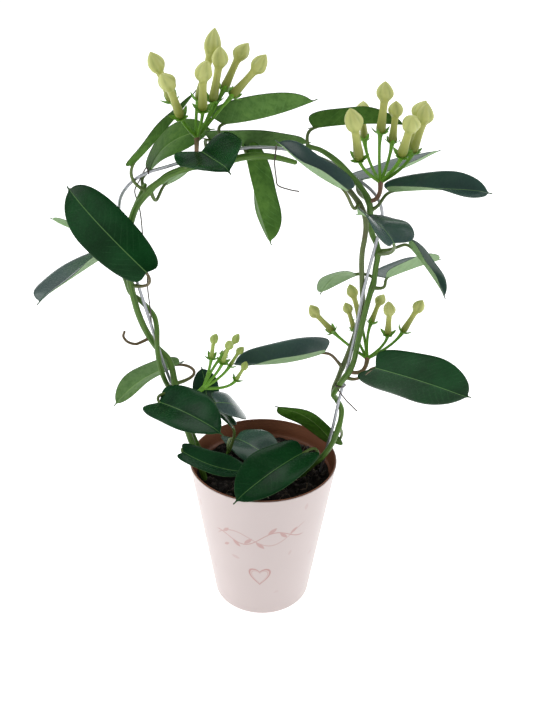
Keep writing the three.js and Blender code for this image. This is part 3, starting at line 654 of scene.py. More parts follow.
def nursery_finish():
    """Brown clouds, paler from the first to the second height of the glow, and rings as a
    sine of the height."""
    f = Finish("nursery", IOR=1.45)
    height = f.axes()[2]
    cloud = f.noise(30.0, 3.0)
    rings = (height * (2 * np.pi / RING_PITCH)).sine()
    brown = f.mix(cloud, BROWN_DEEP, BROWN_LIT)
    brown = f.mix(height.step(*RIM_GLOW) * 0.5, brown, BROWN_RIM)
    f.set(Base_Color=brown, Roughness=0.48 + cloud * 0.12)
    f.bump(rings * 0.25 + f.noise(500.0) * 0.5, 0.15)
    return f.done()


LOOK_NURSERY = nursery_finish()

# %% [markdown]
# The cover pot is a thin pale pink shell with a soft print in dusty rose: a heart in double
# outline below, two thin stems with small leaves that wind round each other above it, and a
# few faint petals strewn about. The print is only colour, so it is drawn by the shader. We
# unroll the pot: x is the way round it in millimetres, counted from the front, and z is the
# height. Each figure is then a formula in x and z that says how far a point is from its line.

# %% Figures of the print
HEART_PLACE, HEART_SIZE = (-1.8, 47.0), 8.8
TWIG_PLACE, TWIG_HALF, TWIG_SWING = (-2.0, 91.0), 36.0, 5.5
TWIG_WAVES, TWIG_SLOPE, TWIG_TAPER = 1.6, 0.13, 4.0
TWIG_LEAVES = [  # place along the twig, side, size
    (-29, 1, 1.1), (-21, -1, 1.2), (-12, 1, 1.3), (-3, -1, 1.35), (6, 1, 1.3), (15, -1, 1.2),
    (23, 1, 1.1),
]
LEAF_SLOPE, LEAF_HALF, LEAF_SLIM = 48, 4.0, 2.6


def lens(x, z, place, degrees, half_length, slim):
    """1 inside a petal: a lens of half length a and half width a / slim, where
    1 - (u / a)^2 is more than |v| slim / a, softened at its edge."""
    turn = np.radians(degrees)
    dx, dz = x - place[0], z - place[1]
    u = dx * float(np.cos(turn)) + dz * float(np.sin(turn))
    v = dz * float(np.cos(turn)) - dx * float(np.sin(turn))
    inside = 1.0 - u * u / half_length**2 - v.size() * (slim / half_length)
    return inside.step(0.0, 0.35)


def heart(x, z):
    """1 on a double outline of a heart with a deep notch: u^2 + (1.2 v - 0.95 |u|^0.7 +
    0.22)^2 is 1 on the outer line and 0.8^2 on the thinner inner one, in units of its size."""
    u, v = (x - HEART_PLACE[0]) / HEART_SIZE, (z - HEART_PLACE[1]) / HEART_SIZE
    lift = v * 1.2 - u.size() ** 0.7 * 0.95 + 0.22
    reach = (u * u + lift * lift).root()
    inner = (reach - 0.80).size().step(0.07, 0.02) * 0.6
    return (reach - 1.0).size().step(0.13, 0.05).most(inner)


def strand(u, v, swing, waves, start):
    """1 on a thin line v = swing sin(pi waves u / half + start) + slope u, where half is the
    twig's half length. It runs out at both ends in a taper."""
    wave = (u * (np.pi * waves / TWIG_HALF) + start).sine() * swing + u * TWIG_SLOPE
    reach = u.size().step(TWIG_HALF, TWIG_HALF - TWIG_TAPER)
    return (v - wave).size().step(0.75, 0.2) * reach


def twig(x, z):
    """Two stems that wind round each other, with small leaves on the first."""
    u, v = x - TWIG_PLACE[0], z - TWIG_PLACE[1]
    first = strand(u, v, TWIG_SWING, TWIG_WAVES, 0.0)
    second = strand(u, v, -1.5 * TWIG_SWING, 0.75 * TWIG_WAVES, 0.6)
    drawn = first.most(second * 0.7)
    for shift, way, size in TWIG_LEAVES:
        rise = TWIG_SWING * np.sin(np.pi * TWIG_WAVES * shift / TWIG_HALF) + TWIG_SLOPE * shift
        place = (shift + 2.6 * size, rise + way * 3.1 * size)
        drawn = drawn.most(lens(u, v, place, LEAF_SLOPE * way, LEAF_HALF * size, LEAF_SLIM) * 0.8)
    return drawn


print("leaves on the printed twig:", len(TWIG_LEAVES))

# %% [markdown]
# The paper of the cover pot is pale pink with soft clouds. The ink sinks in a little, so it
# lowers the bump, and it covers neither the inside nor the lip.

# %% Cover pot finish
PRINT_ROSE, PRINT_RADIUS = (0.46, 0.21, 0.19), 50.0
PAPER_DEEP, PAPER_LIT = (0.575, 0.49, 0.475), (0.635, 0.545, 0.53)
COVER_SLOPE, COVER_MIDDLE = 0.1563, 38.8
PETAL_SLIM = 2.2
PETALS = [  # place round the pot and height, turn in degrees, half length, strength
    (-29, 79, 40, 3.4, 0.75), (-22, 67, -15, 4.2, 0.35), (23, 72, 70, 3.2, 0.28),
    (-55, 107, 80, 4.5, 0.30), (32, 119, 85, 3.8, 0.28), (47, 60, 20, 3.4, 0.22),
    (-50, 42, -60, 3.6, 0.22), (14, 28, 15, 3.0, 0.18), (-100, 90, 30, 4.0, 0.3),
    (90, 85, -40, 4.0, 0.3), (125, 60, 60, 4.2, 0.3), (-135, 70, -20, 3.8, 0.3),
]


def cover_finish():
    """The figures' ink on the paper's colour, outside only: a point of the outer wall lies
    further from the axis than slope times height plus the middle."""
    f = Finish("cover", IOR=1.45, Coat_Roughness=0.3, Coat_Weight=0.15)
    x, y, z = f.axes()
    around = x.math("ARCTAN2", y * -1.0) * PRINT_RADIUS
    cloud = f.noise(14.0, 3.0)
    ink = heart(around, z).most(twig(around, z))
    for px, pz, turn, half, strength in PETALS:
        ink = ink.most(lens(around, z, (px, pz), turn, half, PETAL_SLIM) * strength)
    outside = ((x * x + y * y).root() - z * COVER_SLOPE - COVER_MIDDLE).step(0.0, 0.4)
    soft = ink * (0.62 + f.noise(220.0, 3.0) * 0.4) * outside
    paper = f.mix(cloud, PAPER_DEEP, PAPER_LIT)
    f.set(Base_Color=f.mix(soft * 0.9, paper, PRINT_ROSE), Roughness=0.38 + cloud * 0.08)
    f.bump(f.noise(40.0) * 0.6 - soft * 0.6, 0.12)
    return f.done()


LOOK_COVER = cover_finish()

# %% [markdown]
# Both pots are turned shapes. A Screw or a Solidify modifier could make them from a line,
# but a profile that runs once round the wall, from the middle of the underside to the middle
# of the floor inside, gives a closed shell at once, with the thickness we choose at each
# place. The lips are rounded, and where the wall bends points stand close by on both sides.

# %% Profile of the cover pot
COVER_TOP, COVER_RIM, COVER_FOOT, COVER_WALL = 132.4, 60.0, 39.3, 0.8
COVER_FLOOR, FOOT_ROUND, CORNER = 2.4, 5.0, 0.4
LIP_ROOM, LIP_INSET = 1.0, 0.15


def cover_radius(height):
    """The outer radius, which grows evenly from the foot to the rim."""
    return COVER_FOOT + (COVER_RIM - COVER_FOOT) * height / COVER_TOP


def arc(centre, radius, start, end, steps):
    """Points on an arc of a profile, as [radius, height], with angles in degrees."""
    angle = np.radians(np.linspace(start, end, steps))
    return np.stack([centre[0] + radius * np.cos(angle), centre[1] + radius * np.sin(angle)], 1)


def cover_profile():
    """Underside, rounded foot, wall, lip, inner wall and floor, as [radius, height]."""
    corner = cover_radius(FOOT_ROUND) - FOOT_ROUND
    lip = COVER_WALL / 2
    inside = COVER_RIM - COVER_WALL
    return np.vstack([
        [[0, 0]], np.linspace((corner * 0.3, 0), (corner - 2 * CORNER, 0), 4),
        arc((corner, FOOT_ROUND), FOOT_ROUND, -90, -8, 8),
        np.linspace((cover_radius(FOOT_ROUND + 1), FOOT_ROUND + 1),
                    (COVER_RIM - LIP_INSET, COVER_TOP - LIP_ROOM), 40),
        arc((COVER_RIM - lip - 0.05, COVER_TOP - lip), lip, 0, 180, 7),
        np.linspace((inside - LIP_INSET, COVER_TOP - LIP_ROOM),
                    (corner + FOOT_ROUND - COVER_WALL, FOOT_ROUND), 12),
        [[corner, COVER_FLOOR]], [[0, COVER_FLOOR]],
    ])


print("the cover pot's profile has", len(cover_profile()), "points")

# %% [markdown]
# The nursery pot hangs in the cover pot by its lip. Under the lip a wider collar goes round
# it, and below that the wall steps in, as such pots do so that they can be stacked. Its
# radius is taken from the cover pot's, one gap further in, so that the two never touch.

# %% Profile of the nursery pot
POT_HEIGHT, NURSERY_WALL, NURSERY_FLOOR, NURSERY_TAPER = 133.0, 0.8, 2.7, 4.5
COLLAR_DEPTH, COLLAR_STEP, GAP = 13.0, 1.6, 0.3


def nursery_radius(height):
    """The outer radius of the nursery pot's collar, one gap inside the cover pot's wall."""
    return cover_radius(height) - COVER_WALL - GAP


def nursery_wall(inset):
    """One side of the wall from foot to lip: it slopes outwards, steps out under the collar
    and goes on to the lip. The inset is 0 outside and the wall's thickness inside."""
    step = POT_HEIGHT - COLLAR_DEPTH
    below = step - COLLAR_STEP
    foot = nursery_radius(NURSERY_FLOOR) - NURSERY_TAPER - inset
    shoulder = nursery_radius(below) - COLLAR_STEP - inset
    collar, rim = nursery_radius(step) - inset, nursery_radius(POT_HEIGHT) - inset
    return np.vstack([
        np.linspace((foot, NURSERY_FLOOR + inset), (shoulder, below - CORNER), 16),
        [[shoulder + 0.75 * CORNER, below], [collar - 0.75 * CORNER, step - CORNER / 2]],
        np.linspace((collar, step + CORNER), (rim, POT_HEIGHT - 0.5), 8),
    ])


def nursery_profile():
    """The outer side upwards, half a circle over the lip, and the inner side downwards."""
    lip = NURSERY_WALL / 2
    return np.vstack([
        [[0, NURSERY_FLOOR]], nursery_wall(0),
        arc((nursery_radius(POT_HEIGHT) - lip, POT_HEIGHT - lip), lip, 0, 180, 6),
        nursery_wall(NURSERY_WALL)[::-1], [[0, NURSERY_FLOOR + NURSERY_WALL]],
    ])


print("the nursery pot's profile has", len(nursery_profile()), "points")

# %% [markdown]
# Now both profiles are carried round the Z axis, in 128 steps, so that the rim looks round
# from close by. The two ends of a profile lie on the axis, and each becomes a single point
# with a fan of triangles round it, because a ring of no width would leave a hole.

# %% Turn the pots
POT_SIDES = 128


def turned(profile):
    """A closed profile, from axis to axis, carried round Z: x = r cos(a), y = r sin(a)."""
    inner = profile[1:-1]
    angle = np.linspace(0, 2 * np.pi, POT_SIDES, endpoint=False)
    x, y = inner[:, :1] * np.cos(angle), inner[:, :1] * np.sin(angle)
    z = np.broadcast_to(inner[:, 1:], x.shape)
    poles = [[0, 0, profile[0, 1]], [0, 0, profile[-1, 1]]]
    points = np.vstack([np.stack([x, y, z], -1).reshape(-1, 3), poles])
    quads = grid_faces(len(inner), POT_SIDES, around=True)
    return Body(points, quads, caps(POT_SIDES, len(inner)))


pots = [
    make_piece("cover_pot_shell", "cover_pot", [turned(cover_profile())], [LOOK_COVER]),
    make_piece("nursery_pot_shell", "nursery_pot", [turned(nursery_profile())],
               [LOOK_NURSERY]),
]
print("pots, in metres:", [tuple(round(v, 3) for v in pot.dimensions) for pot in pots])

# %% [markdown]
# The soil fills the nursery pot. Its top is a polar grid raised by a sum of waves of shorter
# and shorter length, which looks tumbled and still repeats exactly. Towards the pot the
# waves get lower.

# %% Soil
SOIL_LEVEL, SOIL_FLOOR = 118.0, 4.4
SOIL_EDGE = nursery_radius(SOIL_LEVEL) - COLLAR_STEP - NURSERY_WALL - 0.1
SOIL_RINGS, SOIL_SIDES = 70, 160
WAVE_COUNT, WAVE_HEIGHT, WAVE_PITCH, WAVE_GROWTH = 60, 0.924, 0.4224, 1.055
SOIL_LOWEST, SOIL_HIGHEST, SOIL_FADE = -3.0, 3.4, 5.0
WAVES = [(rng.uniform(-1, 1, 2), rng.uniform(0, 2 * np.pi)) for _ in range(WAVE_COUNT)]


def soil_height(x, y):
    """The sum of 60 sine waves in random directions. Each turns a little faster than the
    last, and its height falls by as much."""
    total = np.zeros(np.shape(x))
    for number, (way, phase) in enumerate(WAVES):
        faster = WAVE_GROWTH**number
        place = WAVE_PITCH * faster * (way[0] * x + way[1] * y)
        total += WAVE_HEIGHT / faster * np.sin(place + phase)
    low = np.clip((SOIL_EDGE - np.hypot(x, y)) / SOIL_FADE, 0.25, 1)
    return SOIL_LEVEL + np.clip(total, SOIL_LOWEST, SOIL_HIGHEST) * low


def soil_ground():
    """The waves on rings from the middle to the edge, then a ring below the edge and two at
    the foot."""
    radius = SOIL_EDGE * np.linspace(0.02, 1, SOIL_RINGS)[:, None]
    angle = np.linspace(0, 2 * np.pi, SOIL_SIDES, endpoint=False)[None]
    x, y = radius * np.cos(angle), radius * np.sin(angle)
    top = np.stack([x, y, soil_height(x, y)], -1)
    foot = nursery_radius(NURSERY_FLOOR) - NURSERY_TAPER - NURSERY_WALL - 2 * GAP
    lower = np.array([
        [SOIL_EDGE - 0.1, SOIL_LEVEL - 6], [foot, SOIL_FLOOR], [foot * 0.4, SOIL_FLOOR]])
    x, y = lower[:, :1] * np.cos(angle), lower[:, :1] * np.sin(angle)
    wall = np.stack([x, y, np.broadcast_to(lower[:, 1:], x.shape)], -1)
    poles = [[0, 0, soil_height(0.0, 0.0)], [0, 0, SOIL_FLOOR]]
    rows = SOIL_RINGS + len(lower)
    points = np.vstack([top.reshape(-1, 3), wall.reshape(-1, 3), poles])
    quads = grid_faces(rows, SOIL_SIDES, around=True)
    return Body(points, quads[:, ::-1], caps(SOIL_SIDES, rows)[:, ::-1])


print("the soil's radius:", round(SOIL_EDGE, 1), "mm, its middle stands at",
      round(float(soil_height(0.0, 0.0)), 1), "mm")

# %% [markdown]
# On the soil lie crumbs, a few pale grains of grit and some fibres, each a small body sunk
# into the surface. The square root in their places keeps them from crowding in the middle.

# %% Crumbs, grit and fibres
PEBBLE_RINGS, PEBBLE_SIDES = 5, 7
CRUMBS, CRUMB_SIZES = 420, (0.7, 2.3)
GRAINS, GRAIN_SIZES = 16, (0.7, 1.5)
FIBRES, FIBRE_LENGTHS, FIBRE_RADII, FIBRE_STEPS = 46, (5, 16), (0.12, 0.28), 7
BIG_GRAIN, BIG_GRAIN_SIZE = (-27.435, -43.71, SOIL_LEVEL + 1.4), 1.9


def pebble(place, size, look):
    """A lumpy ball: rings from pole to pole, each point pushed in or out a little."""
    polar = np.linspace(0, np.pi, PEBBLE_RINGS + 2)[1:-1, None]
    angle = np.linspace(0, 2 * np.pi, PEBBLE_SIDES, endpoint=False)[None]
    ball = np.stack([np.sin(polar) * np.cos(angle), np.sin(polar) * np.sin(angle),
                     np.cos(polar) + 0 * angle], -1)
    ball *= rng.uniform(0.75, 1.15, (PEBBLE_RINGS, PEBBLE_SIDES, 1))
    shape = size * rng.uniform(0.6, 1.1, 3)
    points = np.vstack([ball.reshape(-1, 3), [[0, 0, 1], [0, 0, -1]]]) * shape + place
    quads = grid_faces(PEBBLE_RINGS, PEBBLE_SIDES, around=True)
    return Body(points, quads[:, ::-1], caps(PEBBLE_SIDES, PEBBLE_RINGS)[:, ::-1], look)


def strewn(count, reach):
    """Places spread evenly over the soil: the square root of a random share is the radius."""
    radius = SOIL_EDGE * reach * np.sqrt(rng.uniform(0, 1, count))
    angle = rng.uniform(0, 2 * np.pi, count)
    x, y = radius * np.cos(angle), radius * np.sin(angle)
    return np.stack([x, y, soil_height(x, y)], 1)


def fibre(place):
    """A thin root on the surface: a line of random length with a sideways bow of 4 b t^2. It
    is cut off at the soil's edge, and left out when less than three points remain."""
    way = rng.uniform(0, 2 * np.pi)
    length = rng.uniform(*FIBRE_LENGTHS)
    t = np.linspace(-0.5, 0.5, FIBRE_STEPS)
    bowed = rng.uniform(-0.35, 0.35) * length * t**2 * 4
    x = place[0] + t * length * np.cos(way) - bowed * np.sin(way)
    y = place[1] + t * length * np.sin(way) + bowed * np.cos(way)
    z = soil_height(x, y) + 0.25 + rng.uniform(0, 0.7, FIBRE_STEPS)
    keep = np.hypot(x, y) < SOIL_EDGE - 1
    if keep.sum() < 3:
        return []
    return [tube(np.stack([x, y, z], 1)[keep], rng.uniform(*FIBRE_RADII), 5, look=3)]


def soil_pieces():
    """The ground and everything on it. The looks are 1 for crumbs, 2 for grit, 3 for fibres."""
    bodies = [soil_ground()]
    for count, sizes, look in ((CRUMBS, CRUMB_SIZES, 1), (GRAINS, GRAIN_SIZES, 2)):
        places = strewn(count, 0.96)
        bodies += [pebble(p, size, look) for p, size in zip(places, rng.uniform(*sizes, count))]
    bodies.append(pebble(BIG_GRAIN, BIG_GRAIN_SIZE, 2))
    for place in strewn(FIBRES, 0.9):
        bodies += fibre(place)
    return bodies


soil = make_piece("soil_fill", "soil", soil_pieces(),
                  [LOOK_SOIL, LOOK_CRUMB, LOOK_GRIT, LOOK_ROOT])
print("soil points:", len(soil.data.vertices))

# %% [markdown]
# The hoop is one wire, pushed into the soil at both ends. Four stems climb on it: two wind
# up its left side, one up its right, and an older one branches off that. The points are the
# same as in the CAD part. Where a pair of leaves or a flower stalk grows, a stem swells into
# a joint, and towards its young end it gets thinner.

# %% Hoop and stems
HOOP = [
    [-44, 0, 98], [-49, 0, 118], [-54, 0, 138], [-62, 0, 168], [-72, 0, 200], [-80, 0, 227],
    [-87, 0, 256], [-94, 0, 284], [-102, 0, 318], [-106, 0, 342], [-104, 0, 357],
    [-96, 0, 368], [-85, 0, 375], [-70, 0, 380], [-45, 0, 388], [-17, 0, 394], [5, 0, 394.5],
    [28, 0, 391], [50, 0, 382], [68, 0, 370], [78, 0, 361], [83, 0, 351], [84, 0, 343],
    [82, 0, 329], [79, 0, 314], [76, 0, 298], [73, 0, 279], [71, 0, 262], [68, 0, 238],
    [63, 0, 208], [59, 0, 186], [55, 0, 160], [51, 0, 141], [47, 0, 120], [43, 0, 98],
]
WIRE_RADIUS = 1.2
HOOP_PATH = spline(HOOP, 14)

STEMS = {  # radius, look, slot and points of each stem
    "left": (2.5, LOOK_STEM, "stem", [
        [-43, -10, 98], [-48, -9, 120], [-53, -8, 138], [-60, -6, 160], [-65, -5, 182],
        [-69, -5, 203], [-74, 3, 221], [-83, 5, 231], [-88, 3, 241], [-92, 0, 252],
        [-96, -1, 265], [-98, -3, 277], [-100, -4, 290], [-101, -6, 308], [-100, -5, 325],
        [-97, -2, 340], [-93, -1, 350], [-87, -1, 358], [-81, -2, 365], [-75, -3, 370],
        [-69, -4, 375], [-54, -4, 381], [-38, -4, 384], [-24, -4, 387], [-16, -4, 389],
        [-5, -4, 390], [7, -4, 389], [20, -5, 386]]),
    "left_second": (2.0, LOOK_STEM, "stem", [
        [-43, 8, 98], [-48, 8, 120], [-54, 7, 140], [-65, 5, 172], [-73, 3, 192],
        [-78, -2, 208], [-81, -4, 223], [-82, -4, 234], [-82, -4, 243], [-82, -2, 251],
        [-84, 3, 259], [-88, 4, 265], [-95, 4, 273], [-101, 3, 279], [-104, 3, 289],
        [-107, 3, 302], [-105, 4, 316], [-101, 4, 329], [-96, 5, 344], [-91, 5, 356],
        [-87, 5, 364]]),
    "right": (2.2, LOOK_STEM, "stem", [
        [27, -6, 98], [30, -5.5, 112], [33.5, -5.5, 122], [40.5, -5.5, 130.5],
        [47.6, -5.5, 138], [54.5, -5.2, 149.3], [58.5, -4, 160], [61.5, 0, 170], [62, 4, 178],
        [58, 5, 186], [55, 1, 193], [57, -3, 201], [61, -4, 209], [66, -4, 217],
        [69, -4, 226], [71, -4, 240], [73, -4, 253], [75, -4, 266], [77, -3, 276],
        [79, -1, 284], [81, 1, 291], [82, 3, 302], [83, 4, 311], [82, 5, 320], [78, 3, 329],
        [76, 0, 338], [75, -3, 347], [74, -4, 355], [71, -5, 362], [66, -4, 369],
        [59, -4, 377], [49, -4, 387], [38, -2, 394], [29, 0, 396]]),
    "right_second": (2.0, LOOK_OLD_STEM, "stem_old", [
        [55, 4.2, 193], [55.6, 7, 196], [58, 6.5, 204], [60, 5, 212], [63, 4, 222],
        [66, 4, 232], [69, 4, 244], [72, 5, 258], [74, 5, 272], [73, 4, 284], [72, 1, 296],
        [71, -1, 308], [71, -2, 318], [72, -3, 328], [72, -7, 340], [70, -9, 350],
        [66, -10, 358], [60, -10, 366], [52, -9, 375], [43, -8, 382], [36, -7, 386]]),
    "basal": (1.6, LOOK_STEM, "stem", [
        [-31, 12, 98], [-31, 11, 116], [-30, 8, 128], [-27, 5, 139]]),
}
STEM_PATHS = {name: spline(stem[3], 12) for name, stem in STEMS.items()}


def nearest(stem, foot):
    """The number of the point on a stem's path that is nearest to a place."""
    gap = np.linalg.norm(STEM_PATHS[stem] - np.asarray(foot, float), axis=1)
    return int(np.argmin(gap))


print("the wire is", round(lengths(HOOP_PATH)[-1]), "mm long, the stems",
      {name: round(lengths(path)[-1]) for name, path in STEM_PATHS.items()})

# %% [markdown]
# Twenty-nine leaves. A rule could set them in pairs, but on the real plant they twist to
# the light, so each has a row of its own, as in the CAD part. It says on which stem the leaf
# grows, where, how its stalk bends, and where the midrib begins and ends. Then come the half
# width, the turn about the midrib, the twist from base to tip, how far the halves are folded
# up, the arch and the bend of the tip. What follows is only for the look: how much the
# margin waves, how pale the underside is and how much painted sheen the upper face gets,
# and how brown its stalk.

# %% Leaf table
LEAVES = [
    ("right", (44, -5.5, 134), (46, 1, 149), (32.2, -8.1, 143.6), (-21.8, -62.5, 134.4),
     21.9, -9, -21, 14, 3.8, 3, 0.8, 0.04, 0.1),
    ("left", (-54, -7, 142), (-62, -12, 156), (-63.2, -19.5, 150.5), (-7.1, -31.8, 140.6),
     13.8, 7, 0, 23, -5.7, 1, 0.8, 0.1, 0.1),
    ("basal", (-28, 6, 135), (-30, -2, 152), (-23.9, 35.4, 127.8), (13.7, -12.9, 132),
     18.3, 14, 48, 17, 4.9, 0, 0.3, 0.4, 0.1),
    ("basal", (-27, 5, 138), (-22, 4, 154), (-26, 2, 163), (-41, 8, 176),
     11, 20, 0, 10, 2, 0, 0.4, 0.1, 0.1),
    ("left", (-68, -5, 194), (-84, -12, 204), (-81.3, -13.7, 193), (-29.6, -73.1, 203.5),
     20.4, 20, 1, 19, 3.6, 2, 0.8, 0.06, 0.1),
    ("left", (-65, -5, 180), (-52, -3, 174), (-37.4, -9.2, 190.4), (-16, 22.9, 159),
     12.2, 36, -19, -1, 5.1, 0, 0.4, 0.9, 0.1),
    ("left", (-66, -5, 186), (-54, 2, 170), (-46, 8, 179), (-50, 18, 207),
     11, 0, 0, 10, 4, 0, 0.4, 0.2, 0.1),
    ("left", (-69, -5, 204), (-40.9, 4.6, 208.3), (-67.4, 14.3, 211.3), (-120.2, 6.9, 176.1),
     14.7, 59, 30, 17, 7.3, 0, 0.6, 0.3, 0.9),
    ("right", (60, -2.5, 164), (68, 10, 152), (57.9, 16.2, 137.6), (8.9, -5.4, 183.7),
     14.7, 39, 24, -5, 8, -2, 0.6, 0, 0.1),
    ("right_second", (61, 5, 216), (53.7, -3.6, 228.7), (45.8, -11.9, 238.8), (-27.8, 21.5, 208.8),
     18, -16, -18, 50, -5.8, 1, 0.8, 0.8, 0.9),
    ("right", (63, -4, 212), (76, -12, 209), (83.9, -20.8, 230.4), (164.5, 1.2, 190.1),
     25.3, 110, -9, -4, -1.8, 2, 0.8, 0, 0.9),
    ("right", (82, 0, 287), (95.1, 0.1, 284.6), (90.1, 3, 294.3), (137.5, 47.6, 290.1),
     16.1, -27, 7, 37, 0.6, 0, 0.5, 0.85, 0.1),
    ("right", (81, 1, 289), (86, 10, 294), (68.3, 8.4, 294.4), (43.8, 46.6, 258.7),
     13.1, 13, -17, -3, 7, 0, 0.5, 0.8, 0.1),
    ("right", (83, 4, 313), (91.9, -10.5, 317.9), (87.7, -48.7, 344.4), (64.7, -13.6, 352.4),
     19.4, 19, 35, 22, 3.6, 2, 0.8, 0.9, 0.1),
    ("right", (83, 4, 316), (97.8, 3.5, 315), (105.5, 3, 321.2), (133.1, -17.8, 287.6),
     10.7, -17, 27, 40, 1.2, 1, 0.6, 0.5, 0.1),
    ("right", (76, 0, 351), (84, -5, 354), (86.8, -11.3, 367.9), (160.6, -7, 365.9),
     14.9, 17, 69, 35, 2.5, 2, 0.8, 0.6, 0.1),
    ("right", (72, -5, 360), (66, 6, 356), (67.8, 19.3, 365.4), (128.9, 46, 380.3),
     15.9, -15, -16, 24, -3.5, 1, 0.6, 0.8, 0.3),
    ("right_second", (66, -10, 358), (60, -24, 352), (54.2, -35.7, 377.7), (6.2, -9.4, 404.2),
     13.7, -1, -16, 46, -3.5, 1, 0.8, 0.9, 0.3),
    ("right", (29, 0, 396), (28.3, 5.8, 398.7), (32.7, 13.2, 405.5), (99.3, 16.8, 407.2),
     15.3, -41, 18, 31, 2.2, 0, 0.5, 0.05, 0.1),
    ("left", (-98, -4, 289), (-80.3, -5.6, 285.9), (-85.2, -23.9, 308.7), (-130.4, -60.1, 386.7),
     18.7, -93, 30, -5, -14, 0, 0.5, 0, 0.8),
    ("left_second", (-105, 2, 297), (-117, 6, 294), (-117.9, 15.8, 306.3), (-158.6, -60.1, 301.8),
     23.4, 27, -5, 20, 0.2, 2, 0.8, 0.7, 0.1),
    ("left_second", (-102, 4, 326), (-106, 18, 322), (-112, 30, 310), (-167, 50, 320),
     13, 45, 0, 10, -2, 0, 0.5, 0.7, 0.1),
    ("left", (-84, -1, 362), (-95.3, -2.4, 366), (-94.9, -3.7, 382), (-49, 6.2, 433.1),
     11, -30, 5, 25, -1.4, 0, 0.6, 0.05, 0.1),
    ("left", (-82, -2, 363), (-78.2, 3, 342.8), (-74, 8, 364), (-43, 12, 384),
     11, -35, 0, 10, 0, 0, 0.5, 0.7, 0.1),
    ("left_second", (-88, 5, 362), (-91, 10, 368), (-83.9, 7, 373.5), (-39, 54.6, 390.4),
     16.9, -67, -24, 6, 11.6, 0, 0.6, 0.05, 0.1),
    ("left", (-56, -4, 380), (-57, -14, 388), (-44.6, -15.9, 396.7), (-24.2, -70.1, 403.7),
     23.3, 20, 3, 19, -0.3, 4, 0.8, 0, 0.1),
    ("left", (-41, -4, 384), (-42, -3, 404), (-41.6, 21.7, 393.4), (32.6, 39.8, 386.2),
     17.8, -35, -5, 26, -4.6, 0, 0.6, 0.15, 0.1),
    ("left", (-30, -4, 386), (-33.8, -0.6, 408.6), (-31.5, 14.6, 407.4), (33.6, -19.9, 435.3),
     19.4, -28, 0, 41, -3, 0, 0.6, 0.12, 0.1),
    ("left", (-10, -4, 390), (-14, 10, 384), (-14.5, 11.6, 388.6), (4.4, -7.5, 323.9),
     19.6, -79, -22, 29, -1.8, 0, 0.8, 0.05, 0.1),
]
print("leaves on each stem:", {name: sum(leaf[0] == name for leaf in LEAVES) for name in STEMS})

# %% [markdown]
# Four flower clusters. Each row says on which stem the cluster grows, where, how its stalk
# bends and where the small stalks meet. Then come the girth of its buds, as a share of the
# usual one, and for each bud its foot and its tip.

# %% Cluster table
CLUSTERS = {
    "umbel_upper_left": ("left", (-49, -4, 382), (-49, -6, 392), (-48, -8, 404), 0.92, [
        [(-64, -14, 431), (-75, -26, 466)], [(-58, -20, 422), (-66, -44, 459)],
        [(-43, -20, 427), (-41, -40, 465)], [(-47, -2, 428), (-34, 6, 475)],
        [(-37, -4, 428), (-30, -8, 467)], [(-30, 1, 434.5), (-15, 11, 465.5)],
        [(-24, -3.5, 432), (0, -7.5, 460)]]),
    "umbel_upper_right": ("right", (73, -4, 358), (82, -7, 358), (81, -2, 371), 1, [
        [(79, 0, 406), (81, 0, 443)], [(71, 30, 391), (68, 44, 416)],
        [(64, -14, 392), (56, -38, 433)], [(88, 4, 398), (90, 8, 427)],
        [(99, 8, 392), (110, 22, 424)], [(102, -2, 393), (111, -4, 428)],
        [(93, -14, 395), (97, -34, 430)]]),
    "umbel_lower_right": ("right", (66, -4, 217), (79, -6, 214), (80, 3, 225), 0.85, [
        [(53, 9, 245), (33, 8, 267)], [(70, 15, 243), (63, 22, 264)],
        [(74, 14, 253), (66, 28, 277)], [(82, 12, 251), (91, 26, 270)],
        [(94, -2, 249), (93, -10, 280)], [(106, 4, 248), (120, 6, 275)]]),
    "umbel_lower_left": ("left", (-67, -5, 192), (-56, -2, 190), (-48, 2, 197), 0.68, [
        [(-41, 0, 225), (-38, -4, 249)], [(-33, 4, 225), (-19, 10, 241)],
        [(-32, -4, 224), (-25, -12, 248)], [(-27, 2, 217), (-17, 6, 233)],
        [(-22, -2, 207), (-13, -4, 224)]]),
}
print("buds in each cluster:", {name: len(row[5]) for name, row in CLUSTERS.items()})

# %% [markdown]
# The stems are grown now, because the table says where their joints are. A bare stalk whose
# leaf has dropped curls away from the left one.

# %% Grow the hoop and the stems
JOINT_REACH, JOINT_SWELL = 3.0, 0.35
TIP_LENGTH, TIP_TAPER = 25, 0.3
BARE_STALK = [[-88, 3, 241], [-95, 0, 238.5], [-99, -2, 238], [-105, -2, 240], [-108, -1, 244],
              [-107, -1, 248]]
BARE_RADIUS, BARE_FOOT, BARE_BROWN = 1.0, 0.35, 0.9


def joints_of(stem):
    """Distances along a stem at which leaves and flower stalks grow."""
    feet = [leaf[1] for leaf in LEAVES if leaf[0] == stem]
    feet += [cluster[1] for cluster in CLUSTERS.values() if cluster[0] == stem]
    along = lengths(STEM_PATHS[stem])
    return [along[nearest(stem, foot)] for foot in feet]


def stem_body(name):
    """The radius is even, plus a bump exp(-(distance / 3)^2) at each joint, and the last
    25 mm taper by 30 percent."""
    radius, path = STEMS[name][0], STEM_PATHS[name]
    along = lengths(path)
    swell = sum(np.exp(-(((along - joint) / JOINT_REACH) ** 2)) for joint in joints_of(name))
    taper = 1 - TIP_TAPER * np.clip((along - along[-1] + TIP_LENGTH) / TIP_LENGTH, 0, 1)
    return tube(path, radius * taper + JOINT_SWELL * np.minimum(swell, 1), 14)


make_piece("wire_hoop_round", "wire_hoop", [tube(HOOP_PATH, WIRE_RADIUS, 14)], [LOOK_WIRE])
for name, (_, look, slot, _) in STEMS.items():
    make_piece(f"stem_{name}_bark", f"stem_{name}", [stem_body(name)], [look])

